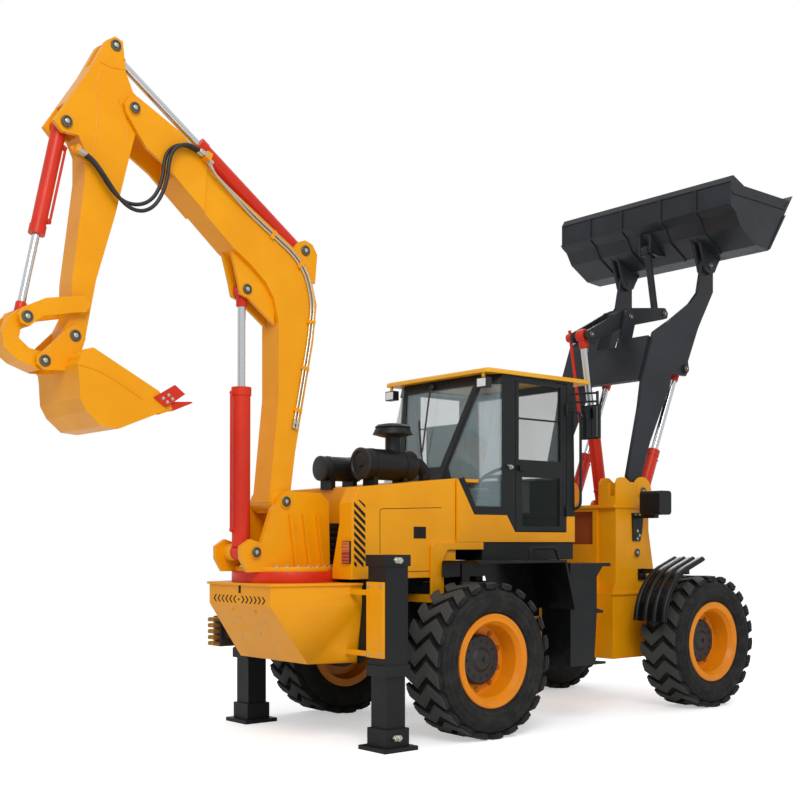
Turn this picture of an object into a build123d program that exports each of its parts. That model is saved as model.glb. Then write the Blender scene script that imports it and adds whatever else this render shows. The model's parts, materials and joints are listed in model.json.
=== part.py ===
"""Articulated backhoe loader, in millimetres.

X points forward, Y to the left and Z up. The ground is Z = 0, and the origin
lies on the ground below the middle of the machine's overall length and width.
Side outlines are drawn on planes whose origin is the ground below the rear
axle, so their numbers are distances from that axle and heights.
"""

from build123d import *

import os
from math import hypot, radians, tan

# Driving dimensions
REAR_AXLE_X = -354.5
WHEELBASE = 2713.0
TRACK = 1780.0
TYRE_DIAMETER = 1160.0
TYRE_WIDTH = 410.0
RIM_DIAMETER = 700.0
LUGS = 22
LUG_DEPTH = 36.0
WHEEL_CENTRE_Z = TYRE_DIAMETER / 2
HUB_RADIUS = 188.0
RUNNING_GAP = 0.05
SIDE_GAP = 6.0

FRONT_AXLE_X = REAR_AXLE_X + WHEELBASE
HINGE = WHEELBASE / 2
RAIL_LOW = WHEEL_CENTRE_Z + 140
HOOD_HALF = TRACK / 2 - 290
CAB_HALF = HOOD_HALF + 20
RING_RADIUS = HOOD_HALF - 205

# Hydraulic cylinder bores and rods, as outside radii
LIFT_BARREL_R = 52.0
LIFT_ROD_R = 32.0
TILT_BARREL_R = 58.0
TILT_ROD_R = 34.0
BOOM_BARREL_R = 66.0
BOOM_ROD_R = 29.0
STICK_BARREL_R = 55.0
STICK_ROD_R = 28.0
BUCKET_BARREL_R = 49.0
BUCKET_ROD_R = 26.0
EYE_GAP = 6.0


def side(y=0.0, x=0.0, z=0.0):
    """Upright plane facing right, its origin x from the rear axle and z above ground."""
    return Plane(origin=(REAR_AXLE_X + x, y, z), x_dir=(1, 0, 0), z_dir=(0, -1, 0))


def deck(z):
    """Level plane at height z, its origin above the rear axle."""
    return Plane.XY.offset(z).move(Location((REAR_AXLE_X, 0, 0)))


def slab(points, y_low, y_high, mode=Mode.ADD, radius=0.0):
    """Side outline extruded between two Y values in the part being built."""
    with BuildSketch(side(y_high)) as outline:
        with BuildLine():
            Polyline(*points, close=True)
        make_face()
        if radius:
            fillet(outline.vertices(), radius)
    extrude(outline.sketch, amount=y_high - y_low, mode=mode)


def ahead(points):
    """Outline points measured from the front axle, as distances from the rear one."""
    return [(WHEELBASE + x, z) for x, z in points]


def eye_plate(points, eyes, y_low, y_high, mode=Mode.ADD):
    """Side outline with round ends, each eye a (place, radius), between two Y values."""
    with BuildSketch(side(y_high)) as outline:
        with BuildLine():
            Polyline(*points, close=True)
        make_face()
        for place, radius in eyes:
            with Locations(place):
                Circle(radius)
    extrude(outline.sketch, amount=y_high - y_low, mode=mode)


def twin_eye_plate(points, eyes, inner, outer):
    """The same round-ended plate on both sides, between two distances from the centre."""
    eye_plate(points, eyes, inner, outer)
    eye_plate(points, eyes, -outer, -inner)


def twin_slab(points, inner, outer, mode=Mode.ADD):
    """The same side outline on both sides, between two distances from the centre."""
    slab(points, inner, outer, mode)
    slab(points, -outer, -inner, mode)


def plan(points, z_low, z_high, mode=Mode.ADD):
    """Plan outline extruded between two heights in the part being built."""
    with BuildSketch(deck(z_low)) as outline:
        with BuildLine():
            Polyline(*points, close=True)
        make_face()
    extrude(outline.sketch, amount=z_high - z_low, mode=mode)


def block(x, y, z, mode=Mode.ADD):
    """Box between pairs of limits, x from the rear axle."""
    with Locations((REAR_AXLE_X + sum(x) / 2, sum(y) / 2, sum(z) / 2)):
        Box(x[1] - x[0], y[1] - y[0], z[1] - z[0], mode=mode)


def twin_block(x, y, z, mode=Mode.ADD):
    """The same box on both sides, y as distances from the centre."""
    block(x, y, z, mode)
    block(x, (-y[1], -y[0]), z, mode)


def cross_pin(pin, y_low, y_high, radius, mode=Mode.ADD):
    """Round bar along Y through a pin place."""
    with BuildSketch(side(y_high, *pin)) as outline:
        Circle(radius)
    extrude(outline.sketch, amount=y_high - y_low, mode=mode)


def twin_pin(pin, inner, outer, radius, mode=Mode.ADD):
    """Round bosses on both sides, between two distances from the centre."""
    cross_pin(pin, inner, outer, radius, mode)
    cross_pin(pin, -outer, -inner, radius, mode)


def line_plane(base, tip, start=0.0, y=0.0):
    """Plane square to the line from base to tip, start along it."""
    run = Vector(tip[0] - base[0], 0, tip[1] - base[1]).normalized()
    origin = Vector(REAR_AXLE_X + base[0], y, base[1]) + run * start
    return Plane(origin=origin, x_dir=(0, 1, 0), z_dir=run)


def tube(base, tip, start, end, radius, y=0.0, mode=Mode.ADD):
    """Round bar along the line from base to tip, from start to end."""
    with BuildSketch(line_plane(base, tip, start, y)) as outline:
        Circle(radius)
    extrude(outline.sketch, amount=end - start, mode=mode)


# Pin places, each (distance ahead of the rear axle, height)
ARM_PIVOT = (WHEELBASE - 326, 1917.0)
LIFT_BASE = (WHEELBASE - 413, 1365.0)
LIFT_EYE = (WHEELBASE + 327, 3085.0)
CRANK_PIVOT = (WHEELBASE - 16, 3587.0)
CRANK_REAR = (WHEELBASE - 528, 3368.0)
CRANK_FRONT = (WHEELBASE + 539, 3690.0)
LOADER_PIVOT = (WHEELBASE + 678, 4102.0)
LOADER_LINK = (WHEELBASE + 417, 4306.0)
TILT_BASE = (WHEELBASE - 253, 1800.0)
BOOM_FOOT = (-1266.0, 1753.0)
BOOM_CYL_BASE = (-1522.0, 1386.0)
BOOM_CYL_EYE = (-1516.0, 3281.0)
STICK_CYL_BASE = (-1015.0, 3634.0)
BOOM_TIP = (-2440.0, 4352.0)
STICK_TOP = (-2556.0, 4750.0)
BUCKET_CYL_BASE = (-2904.0, 4166.0)
ROCKER_PIVOT = (-2816.0, 2993.0)
ROCKER_END = (-3185.0, 2870.0)
DIG_PIVOT = (-2854.0, 2790.0)
DIG_LINK = (-3059.0, 2609.0)
SLEW_CENTRE = -1136.0

# Layers across the machine, as distances from the centre plane
ARM_INNER = 475.0
ARM_OUTER = 510.0
LIFT_CENTRE = 410.0
BOOM_HALF = 110.0
CHEEK_OUTER = 131.0
STICK_HALF = 98.0
EAR_INNER = 104.0
EAR_OUTER = 126.0
ROCKER_INNER = 132.0
ROCKER_OUTER = 152.0
BRACKET_INNER = 150.0
BRACKET_OUTER = 190.0
CRANK_INNER = 80.0
CRANK_OUTER = 110.0


def barrel(base, eye, radius, rod_radius, length, eye_half, y=0.0):
    """Cylinder tube from its base eye towards the rod's eye, bored for pin and rod."""
    cross_pin(base, y - eye_half, y + eye_half, radius * 0.95)
    tube(base, eye, 0.6 * radius, length, radius, y)
    tube(base, eye, length - 60.0, length, radius * 1.1, y)
    tube(base, eye, 1.6 * radius, length, rod_radius + RUNNING_GAP, y, Mode.SUBTRACT)
    with BuildSketch(side(y + 1.2 * radius)) as outline:
        with Locations(base):
            Circle(radius * 1.05)
    extrude(outline.sketch, amount=1.2 * radius - eye_half, mode=Mode.SUBTRACT)
    with BuildSketch(side(y - eye_half)) as outline:
        with Locations(base):
            Circle(radius * 1.05)
    extrude(outline.sketch, amount=1.2 * radius - eye_half, mode=Mode.SUBTRACT)
    cross_pin(base, y - eye_half, y + eye_half, base_pin(radius) + RUNNING_GAP, Mode.SUBTRACT)


def base_pin(radius):
    """Radius of the pin that carries a tube of the given radius."""
    return round(0.5 * radius)


def rod(base, eye, radius, start, eye_half, eye_radius, y=0.0):
    """Piston rod that starts inside the tube and ends in the eye."""
    run = hypot(eye[0] - base[0], eye[1] - base[1])
    tube(base, eye, start, run - 0.5 * eye_radius, radius, y)
    cross_pin(eye, y - eye_half, y + eye_half, eye_radius)
    cross_pin(eye, y - eye_half, y + eye_half, 0.5 * eye_radius, Mode.SUBTRACT)


def save(piece, name):
    """Name the piece and write it out."""
    piece.part.label = name
    export_step(piece.part, f"parts/{name}.step")


os.makedirs("parts", exist_ok=True)

# Tyres and rims, and one lug of the tread, lying on a tyre whose axle is the Z axis
rim_half = 170.0
bead = RIM_DIAMETER / 2 - 45.0
tread_radius = TYRE_DIAMETER / 2 - LUG_DEPTH
lug_end = TYRE_WIDTH / 2 - 24
lug_pitch = 3.14159 * TYRE_DIAMETER / LUGS
with BuildPart() as lug:
    # zigzag bar: how far it runs ahead along the tread at four places across it
    with BuildSketch(Plane(origin=(tread_radius - 12, 0, 0), x_dir=(0, 1, 0), z_dir=(1, 0, 0))):
        with BuildLine():
            Polyline(
                (-0.10 * lug_pitch, -lug_end),
                (0.50 * lug_pitch, -lug_end / 3),
                (-0.14 * lug_pitch, lug_end / 3),
                (0.36 * lug_pitch, lug_end),
                (0.10 * lug_pitch, lug_end),
                (-0.50 * lug_pitch, lug_end / 3),
                (0.14 * lug_pitch, -lug_end / 3),
                (-0.36 * lug_pitch, -lug_end),
                close=True,
            )
        make_face()
    extrude(amount=LUG_DEPTH + 12)

for name, axle_x, s in (
    ("rear_right", REAR_AXLE_X, -1),
    ("rear_left", REAR_AXLE_X, 1),
    ("front_right", FRONT_AXLE_X, -1),
    ("front_left", FRONT_AXLE_X, 1),
):
    # local x is the radius, local y runs outwards along the axle
    wheel_centre = (axle_x, s * TRACK / 2, WHEEL_CENTRE_Z)
    wheel_plane = Plane(origin=wheel_centre, x_dir=(1, 0, 0), z_dir=(0, 0, s))
    wheel_axis = Axis(wheel_centre, (0, 1, 0))
    with BuildPart() as tyre:
        with BuildSketch(wheel_plane):
            with BuildLine():
                Polyline(
                    (bead + 1, rim_half - 12),
                    (bead + 1, -rim_half + 12),
                    (bead + 48, -rim_half + 12),
                )
                ThreePointArc(
                    (bead + 48, -rim_half + 12),
                    (tread_radius - 100, -TYRE_WIDTH / 2),
                    (tread_radius - 24, -TYRE_WIDTH / 2 + 22),
                )
                Polyline(
                    (tread_radius - 24, -TYRE_WIDTH / 2 + 22),
                    (tread_radius, -TYRE_WIDTH / 2 + 60),
                    (tread_radius, TYRE_WIDTH / 2 - 60),
                    (tread_radius - 24, TYRE_WIDTH / 2 - 22),
                )
                ThreePointArc(
                    (tread_radius - 24, TYRE_WIDTH / 2 - 22),
                    (tread_radius - 100, TYRE_WIDTH / 2),
                    (bead + 48, rim_half - 12),
                )
                Line((bead + 48, rim_half - 12), (bead + 1, rim_half - 12))
            make_face()
        revolve(axis=wheel_axis)
        with Locations(Plane(origin=wheel_centre, x_dir=(0, 0, 1), z_dir=(0, s, 0))):
            with PolarLocations(0, LUGS):
                add(lug.part)
    save(tyre, f"tyre_{name}")

    with BuildPart() as rim:
        with BuildSketch(wheel_plane):
            with BuildLine():
                Polyline(
                    (RIM_DIAMETER / 2, -rim_half),
                    (RIM_DIAMETER / 2, -rim_half + 11),
                    (bead, -rim_half + 11),
                    (bead, rim_half - 11),
                    (RIM_DIAMETER / 2, rim_half - 11),
                    (RIM_DIAMETER / 2, rim_half),
                    (bead - 10, rim_half),
                    (bead - 34, 130),
                    (bead - 45, -10),
                    (HUB_RADIUS + RUNNING_GAP, -30),
                    (HUB_RADIUS + RUNNING_GAP, -60),
                    (bead - 45, -60),
                    (bead - 16, -rim_half),
                    close=True,
                )
            make_face()
        revolve(axis=wheel_axis)
    save(rim, f"rim_{name}")

# Axles, with planetary hubs that carry the rims and seats under the frame's rails
SEAT_HALF = (90.0, 60.0)
for name, axle_x in (("rear_axle", REAR_AXLE_X), ("front_axle", FRONT_AXLE_X)):
    with BuildPart() as axle:
        with BuildSketch(Plane.XY.offset(WHEEL_CENTRE_Z)):
            with BuildLine():
                Polyline(
                    (axle_x, 0),
                    (axle_x + 190, 0),
                    (axle_x + 190, 60),
                    (axle_x + 110, 180),
                    (axle_x + 85, TRACK / 2 - 370),
                    (axle_x + 140, TRACK / 2 - 330),
                    (axle_x + 140, TRACK / 2 - 115),
                    (axle_x + HUB_RADIUS, TRACK / 2 - 115),
                    (axle_x + HUB_RADIUS, TRACK / 2 + 22),
                    (axle_x + HUB_RADIUS - 14, TRACK / 2 + 34),
                    (axle_x + 95, TRACK / 2 + 34),
                    (axle_x + 70, TRACK / 2 + 52),
                    (axle_x, TRACK / 2 + 52),
                    close=True,
                )
            make_face()
        revolve(axis=Axis((axle_x, 0, WHEEL_CENTRE_Z), (0, 1, 0)))
        mirror(about=Plane.XZ)
        for y in (-300, 300):
            with BuildSketch(Plane(origin=(axle_x, y, WHEEL_CENTRE_Z))) as seat_face:
                Rectangle(2 * SEAT_HALF[0], 2 * SEAT_HALF[1])
            extrude(amount=RAIL_LOW - WHEEL_CENTRE_Z)
    save(axle, name)
# Rear frame
CROSS_REAR = -893.0
CROSS_FRONT = -770.0
LUG_HEIGHTS = (560.0, 1000.0)
CAB_FLOOR = 1460.0
NOSE = HINGE - 267

with BuildPart() as chassis:
    twin_block((CROSS_FRONT, NOSE + 60), (230, 310), (RAIL_LOW, 1120))
    for x_low, x_high in ((-500, -440), (300, 360), (860, 920)):
        block((x_low, x_high), (-230, 230), (800, 1060))
    # nose down to the articulation forks
    nose = [(0, -310), (60, -310), (125, -130), (125, 130), (60, 310), (0, 310)]
    plan([(NOSE + x, y) for x, y in nose], 500, 1120)
    for height in LUG_HEIGHTS:
        for z_low in (height - 57, height + 27):
            plan([(NOSE + 110, -120), (HINGE, -110), (HINGE, 110), (NOSE + 110, 120)], z_low, z_low + 30)
            with BuildSketch(deck(z_low)) as outline:
                with Locations((HINGE, 0)):
                    Circle(110)
            extrude(amount=30)
        with BuildSketch(deck(height - 57)) as outline:
            with Locations((HINGE, 0)):
                Circle(35 + RUNNING_GAP)
        extrude(amount=114, mode=Mode.SUBTRACT)
    # open-bottomed box under the cab, and the cab's mounts
    block((320, 1382), (20 - CAB_HALF, CAB_HALF - 20), (CAB_FLOOR - 145, CAB_FLOOR))
    block((345, 1357), (45 - CAB_HALF, CAB_HALF - 45), (CAB_FLOOR - 150, CAB_FLOOR - 20), Mode.SUBTRACT)
    block((150, 240), (60 - CAB_HALF, CAB_HALF - 60), (CAB_FLOOR - 60, CAB_FLOOR))
    for x_low, x_high in ((150, 240), (1040, 1130)):
        twin_block((x_low, x_high), (230, 310), (1120, CAB_FLOOR - 20))
save(chassis, "chassis")

with BuildPart() as engine_block:
    block((-650, -50), (-300, 300), (1120, 1740))
save(engine_block, "engine_block")

# Backhoe's base box, its sides flared towards the front
BOX_TOP = 1165.0
LEG_HALF = 85.0
LEG_GAP = 0.3
HOUSING_X = -864.0
HOUSING_Y = 880.0
PLATE_REAR = HOUSING_X - 125
with BuildPart() as base_box:
    sections = []
    for z, rear_x, rear_half, front_half in (
        (BOX_TOP, -1540, 410, 620),
        (1005, -1540, 410, 620),
        (588, -1246, 440, 560),
    ):
        with BuildSketch(deck(z)) as section:
            with BuildLine():
                Polyline(
                    (rear_x, -rear_half),
                    (CROSS_REAR, -front_half),
                    (CROSS_REAR, front_half),
                    (rear_x, rear_half),
                    close=True,
                )
            make_face()
        sections.append(section.sketch)
    loft(sections, ruled=True)
    # bolted plates behind the stabiliser housings, with the tabs that carry them
    twin_block((PLATE_REAR, PLATE_REAR + 25), (790, 970), (650, 1180))
    for z_low in (655, 1085):
        twin_block((PLATE_REAR + 4, PLATE_REAR + 19), (525, 790), (z_low, z_low + 38))
    plan(
        [(-1555, -422), (CROSS_REAR, -634), (CROSS_REAR, 634), (-1555, 422)],
        BOX_TOP - 18,
        BOX_TOP,
    )
save(base_box, "base_box")

with BuildPart() as stabiliser_housings:
    block((CROSS_REAR, CROSS_FRONT), (-780, 780), (650, 1100))
    twin_block((HOUSING_X - 100, HOUSING_X + 100), (HOUSING_Y - 100, HOUSING_Y + 100), (520, 1370))
    twin_block((HOUSING_X - 114, HOUSING_X + 114), (HOUSING_Y - 114, HOUSING_Y + 114), (1290, 1370))
    twin_block((HOUSING_X - 112, HOUSING_X + 112), (HOUSING_Y - 112, HOUSING_Y + 112), (520, 600))
    twin_block(
        (HOUSING_X - LEG_HALF - LEG_GAP, HOUSING_X + LEG_HALF + LEG_GAP),
        (HOUSING_Y - LEG_HALF - LEG_GAP, HOUSING_Y + LEG_HALF + LEG_GAP),
        (500, 1352),
        Mode.SUBTRACT,
    )
save(stabiliser_housings, "stabiliser_housings")

SOCKET_HALF = LEG_HALF + 20
for name, s in (("right", -1), ("left", 1)):
    with BuildPart() as leg:
        y_mid = s * HOUSING_Y
        block((HOUSING_X - LEG_HALF, HOUSING_X + LEG_HALF), (y_mid - LEG_HALF, y_mid + LEG_HALF), (155, 985))
        # socket round the leg's lower end, and the foot plate
        for half, z_low, z_high in ((SOCKET_HALF, 30, 155), (150, 0, 30)):
            block((HOUSING_X - half, HOUSING_X + half), (y_mid - half, y_mid + half), (z_low, z_high))
    save(leg, f"stabiliser_leg_{name}")

with BuildPart() as valve_block:
    block((-1050, PLATE_REAR), (634, 700), (700, 940))
    block((PLATE_REAR, CROSS_REAR), (634, 700), (720, 940))
    with BuildSketch(Plane(origin=(REAR_AXLE_X - 1050, 667, 827), x_dir=(0, 1, 0), z_dir=(-1, 0, 0))):
        with GridLocations(1, 55, 1, 4):
            Circle(14)
    extrude(amount=45)
save(valve_block, "valve_block")

# Engine hood: a shell, open below, with a recess round the slewing ring
HOOD_REAR = -970.0
HOOD_FRONT = 40.0
RECESS_FRONT = -740.0
SHELL = 25.0


def recess(grow):
    """Cross-section of the rear recess, grown outwards."""
    low = RING_RADIUS - 33 + grow
    high = RING_RADIUS + 55 + grow
    with BuildSketch(
        Plane(origin=(REAR_AXLE_X + HOOD_REAR - 30, 0, 0), x_dir=(0, 1, 0), z_dir=(1, 0, 0))
    ) as outline:
        with BuildLine():
            Polyline(
                (-low, 1100),
                (-low, 1260),
                (-high, 1600),
                (-high, 2000),
                (high, 2000),
                (high, 1600),
                (low, 1260),
                (low, 1100),
                close=True,
            )
        make_face()
    return outline.sketch


with BuildPart() as hood_cavity:
    slab(
        [
            (HOOD_REAR + SHELL, 1100),
            (HOOD_REAR + SHELL, 1726),
            (-893, 1829),
            (HOOD_FRONT + 5, 1924),
            (HOOD_FRONT + 5, 1100),
        ],
        -HOOD_HALF + SHELL,
        HOOD_HALF - SHELL,
    )
    extrude(recess(SHELL), amount=RECESS_FRONT + SHELL - HOOD_REAR + 30, mode=Mode.SUBTRACT)

with BuildPart() as hood:
    slab(
        [(HOOD_REAR, 1190), (HOOD_REAR, 1740), (-905, 1855), (HOOD_FRONT, 1950), (HOOD_FRONT, 1190)],
        -HOOD_HALF,
        HOOD_HALF,
    )
    extrude(recess(0), amount=RECESS_FRONT - HOOD_REAR + 30, mode=Mode.SUBTRACT)
    add(hood_cavity.part, mode=Mode.SUBTRACT)
    block((RECESS_FRONT - 5, RECESS_FRONT + 40), (-330, 330), (1280, 1600), Mode.SUBTRACT)
save(hood, "hood")

with BuildPart() as radiator_grille:
    block((RECESS_FRONT + 2, RECESS_FRONT + 22), (-330, 330), (1280, 1600))
    for z in range(1310, 1580, 45):
        block((RECESS_FRONT + 2, RECESS_FRONT + 10), (-300, 300), (z, z + 20), Mode.SUBTRACT)
save(radiator_grille, "radiator_grille")

# Cab: a shell lofted between the outline at the sill and the one under the roof
SILL_Z = 1674.0
CAB_TOP = 2800.0
CAB_FRONT_LOW = 1382.0
CAB_FRONT_HIGH = 1362.0
WALL = 35.0
DOOR = (671.0, 1282.0)


def cab_hull(inset):
    """Cab's body above the sill, its walls moved inwards by the inset."""
    low = [
        (CAB_FRONT_LOW, -CAB_HALF),
        (CAB_FRONT_LOW, CAB_HALF),
        (218, CAB_HALF),
        (100, 200),
        (100, -200),
        (218, -CAB_HALF),
    ]
    high = [
        (CAB_FRONT_HIGH, -CAB_HALF),
        (CAB_FRONT_HIGH, CAB_HALF),
        (523, CAB_HALF),
        (426, 470),
        (426, -470),
        (523, -CAB_HALF),
    ]
    sections = []
    for z, points in ((SILL_Z, low), (CAB_TOP, high)):
        with BuildSketch(deck(z)) as section:
            with BuildLine():
                Polyline(*points, close=True)
            make_face()
            if inset:
                offset(amount=-inset, kind=Kind.INTERSECTION, mode=Mode.REPLACE)
        sections.append(section.sketch)
    loft(sections, ruled=True)


def pane_cuts(grow):
    """Prisms through the fixed windows, grown on every side."""
    front = Plane(origin=(REAR_AXLE_X + 1250, 0, 0), x_dir=(0, 1, 0), z_dir=(1, 0, 0))
    with BuildSketch(front) as outline:
        with Locations((0, 2215)):
            Rectangle(2 * CAB_HALF - 180 + 2 * grow, 1050 + 2 * grow)
    extrude(outline.sketch, amount=200)
    rear = Plane(origin=(REAR_AXLE_X + 560, 0, 0), x_dir=(0, -1, 0), z_dir=(-1, 0, 0))
    with BuildSketch(rear) as outline:
        with BuildLine():
            Polyline((-225, 2065), (225, 2065), (415, 2720), (-415, 2720), close=True)
        make_face()
        if grow:
            offset(amount=grow, kind=Kind.INTERSECTION, mode=Mode.REPLACE)
    extrude(outline.sketch, amount=700)
    for s in (-1, 1):
        # its local y is upright on the left and upside down on the right
        quarter = Plane(
            origin=(REAR_AXLE_X + 540, s * (CAB_HALF - 60), 0),
            x_dir=(-0.656, -0.755 * s, 0),
            z_dir=(-0.755, 0.656 * s, 0),
        )
        up = quarter.y_dir.Z
        with BuildSketch(quarter) as outline:
            with BuildLine():
                Polyline(
                    (-30, 1740 * up),
                    (300, 1740 * up),
                    (395, 2060 * up),
                    (130, 2720 * up),
                    (-30, 2720 * up),
                    close=True,
                )
            make_face()
            if grow:
                offset(amount=grow, kind=Kind.INTERSECTION, mode=Mode.REPLACE)
        extrude(outline.sketch, amount=500)


with BuildPart() as panes:
    pane_cuts(0)

with BuildPart() as cab_inside:
    cab_hull(WALL)

with BuildPart() as cab_frame:
    cab_hull(0)
    slab([(577, SILL_Z), (671, 1540), (1282, 1540), (1282, SILL_Z)], -CAB_HALF, CAB_HALF)
    add(cab_inside.part, mode=Mode.SUBTRACT)
    block((380, CAB_FRONT_LOW - 40), (-CAB_HALF + WALL, CAB_HALF - WALL), (SILL_Z - 1, SILL_Z + 2))
    block((700, 1240), (-CAB_HALF + WALL, CAB_HALF - WALL), (1575, SILL_Z + 40), Mode.SUBTRACT)
    add(panes.part, mode=Mode.SUBTRACT)
    twin_block((DOOR[0], DOOR[1]), (CAB_HALF - WALL - 1, CAB_HALF + 1), (1540, 2780), Mode.SUBTRACT)
    # black border along the sloping sill
    twin_slab(
        [(49, 1947), (218, SILL_Z), (330, SILL_Z), (330, 1720), (245, 1720), (110, 1960)],
        CAB_HALF - 20,
        CAB_HALF,
    )
    # mirrors, each on a post between two tubes from the front pillar
    for s in (-1, 1):
        for z in (2635, 2705):
            with BuildSketch(Plane(origin=(REAR_AXLE_X + 1352, s * (CAB_HALF - 20), z), z_dir=(108, 200 * s, 0))):
                Circle(9)
            extrude(amount=hypot(108, 200))
        with BuildSketch(Plane(origin=(REAR_AXLE_X + 1460, s * (CAB_HALF + 180), 2590))):
            Circle(12)
        extrude(amount=130)
    twin_block((1440, 1472), (CAB_HALF + 25, CAB_HALF + 208), (2322, 2606))
save(cab_frame, "cab_frame")

with BuildPart() as glass_inside:
    cab_hull(18)

with BuildPart() as cab_glass:
    cab_hull(12)
    add(glass_inside.part, mode=Mode.SUBTRACT)
    add(panes.part, mode=Mode.INTERSECT)
save(cab_glass, "cab_glass")

with BuildPart() as cab_hull_solid:
    cab_hull(0)

with BuildPart() as cab_sill:
    twin_slab(
        [
            (40, CAB_FLOOR),
            (40, 1950),
            (49, 1947),
            (218, SILL_Z),
            (577, SILL_Z),
            (671, 1540),
            (1282, 1540),
            (1282, 1691),
            (1382, 1691),
            (1382, CAB_FLOOR),
        ],
        CAB_HALF - 20,
        CAB_HALF,
    )
    block((40, 1382), (20 - CAB_HALF, CAB_HALF - 20), (CAB_FLOOR, CAB_FLOOR + 20))
    block((690, 1262), (20 - CAB_HALF, CAB_HALF - 20), (CAB_FLOOR + 20, CAB_FLOOR + 80))
    block((1362, 1382), (20 - CAB_HALF, CAB_HALF - 20), (CAB_FLOOR + 20, SILL_Z))
    # cowl between the hood and the rear window
    block((40, 330), (20 - CAB_HALF, CAB_HALF - 20), (1925, 1950))
    add(cab_hull_solid.part, mode=Mode.SUBTRACT)
    twin_block((1270, 1400), (CAB_HALF - 20, CAB_HALF + 20), (SILL_Z, 1700), Mode.SUBTRACT)
save(cab_sill, "cab_sill")

with BuildPart() as cab_roof:
    with BuildSketch(deck(CAB_TOP)) as outline:
        with Locations(((345 + 1574) / 2, 0)):
            RectangleRounded(1574 - 345, 2 * CAB_HALF + 44, 45)
    extrude(amount=35)
    chamfer(cab_roof.faces().sort_by(Axis.Z)[-1].edges(), 12)
    # lamp brackets under the rear corners
    twin_block((355, 375), (CAB_HALF - 60, CAB_HALF - 40), (2760, CAB_TOP))
save(cab_roof, "cab_roof")

with BuildPart() as work_lamps:
    twin_block((345, 400), (CAB_HALF - 105, CAB_HALF + 5), (2680, 2760))
    # tail lamps on the hood's wings
    twin_block((HOOD_REAR - 14, HOOD_REAR), (HOOD_HALF - 100, HOOD_HALF - 10), (1304, 1466))
save(work_lamps, "work_lamps")

with BuildPart() as seat:
    block((700, 960), (-180, 180), (1575, 1790))
    cushions = [
        (500, 1790),
        (1010, 1790),
        (1030, 1850),
        (1010, 1910),
        (600, 1900),
        (520, 2450),
        (440, 2450),
        (470, 1830),
    ]
    slab(cushions, -240, 240)
save(seat, "seat")

with BuildPart() as controls:
    slab([(1120, 1575), (1236, 1575), (1220, 1900), (1150, 1960), (1110, 1940)], -90, 90)
    tube((1150, 1930), (1085, 2040), 0, 118, 18)
    with Locations(line_plane((1150, 1930), (1085, 2040), 115).location):
        Torus(175, 15)
        Box(350, 36, 14)
    block((700, 980), (-480, -300), (1700, 1960))
    block((700, 960), (-420, -320), (1575, 1700))
save(controls, "controls")

for name, s in (("right", -1), ("left", 1)):
    y_low, y_high = sorted((s * (CAB_HALF - WALL + 2), s * CAB_HALF))
    upper = [(677 + 35, 2126), (1204, 2126), (1204, 2745), (677 + 35, 2745)]
    lower = [(750, 1590), (1194, 1590), (1194, 1987), (750, 1987)]
    with BuildPart() as door:
        block((DOOR[0] + 6, DOOR[1] - 6), (y_low, y_high), (1546, 2774))
        slab(upper, y_low - 1, y_high + 1, Mode.SUBTRACT)
        slab(lower, y_low - 1, y_high + 1, Mode.SUBTRACT)
        y_pair = sorted((s * CAB_HALF, s * (CAB_HALF + 28)))
        block((700, 760), y_pair, (2035, 2075))
        # hinge barrels at the front edge
        for z in (1720, 2560):
            with Locations((REAR_AXLE_X + DOOR[1] - 10, s * (CAB_HALF + 8), z)):
                Cylinder(12, 90)
    save(door, f"door_{name}")
    y_mid = s * (CAB_HALF - 16)
    with BuildPart() as door_glass:
        slab(upper, y_mid - 3, y_mid + 3)
        slab(lower, y_mid - 3, y_mid + 3)
    save(door_glass, f"door_{name}_glass")

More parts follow.
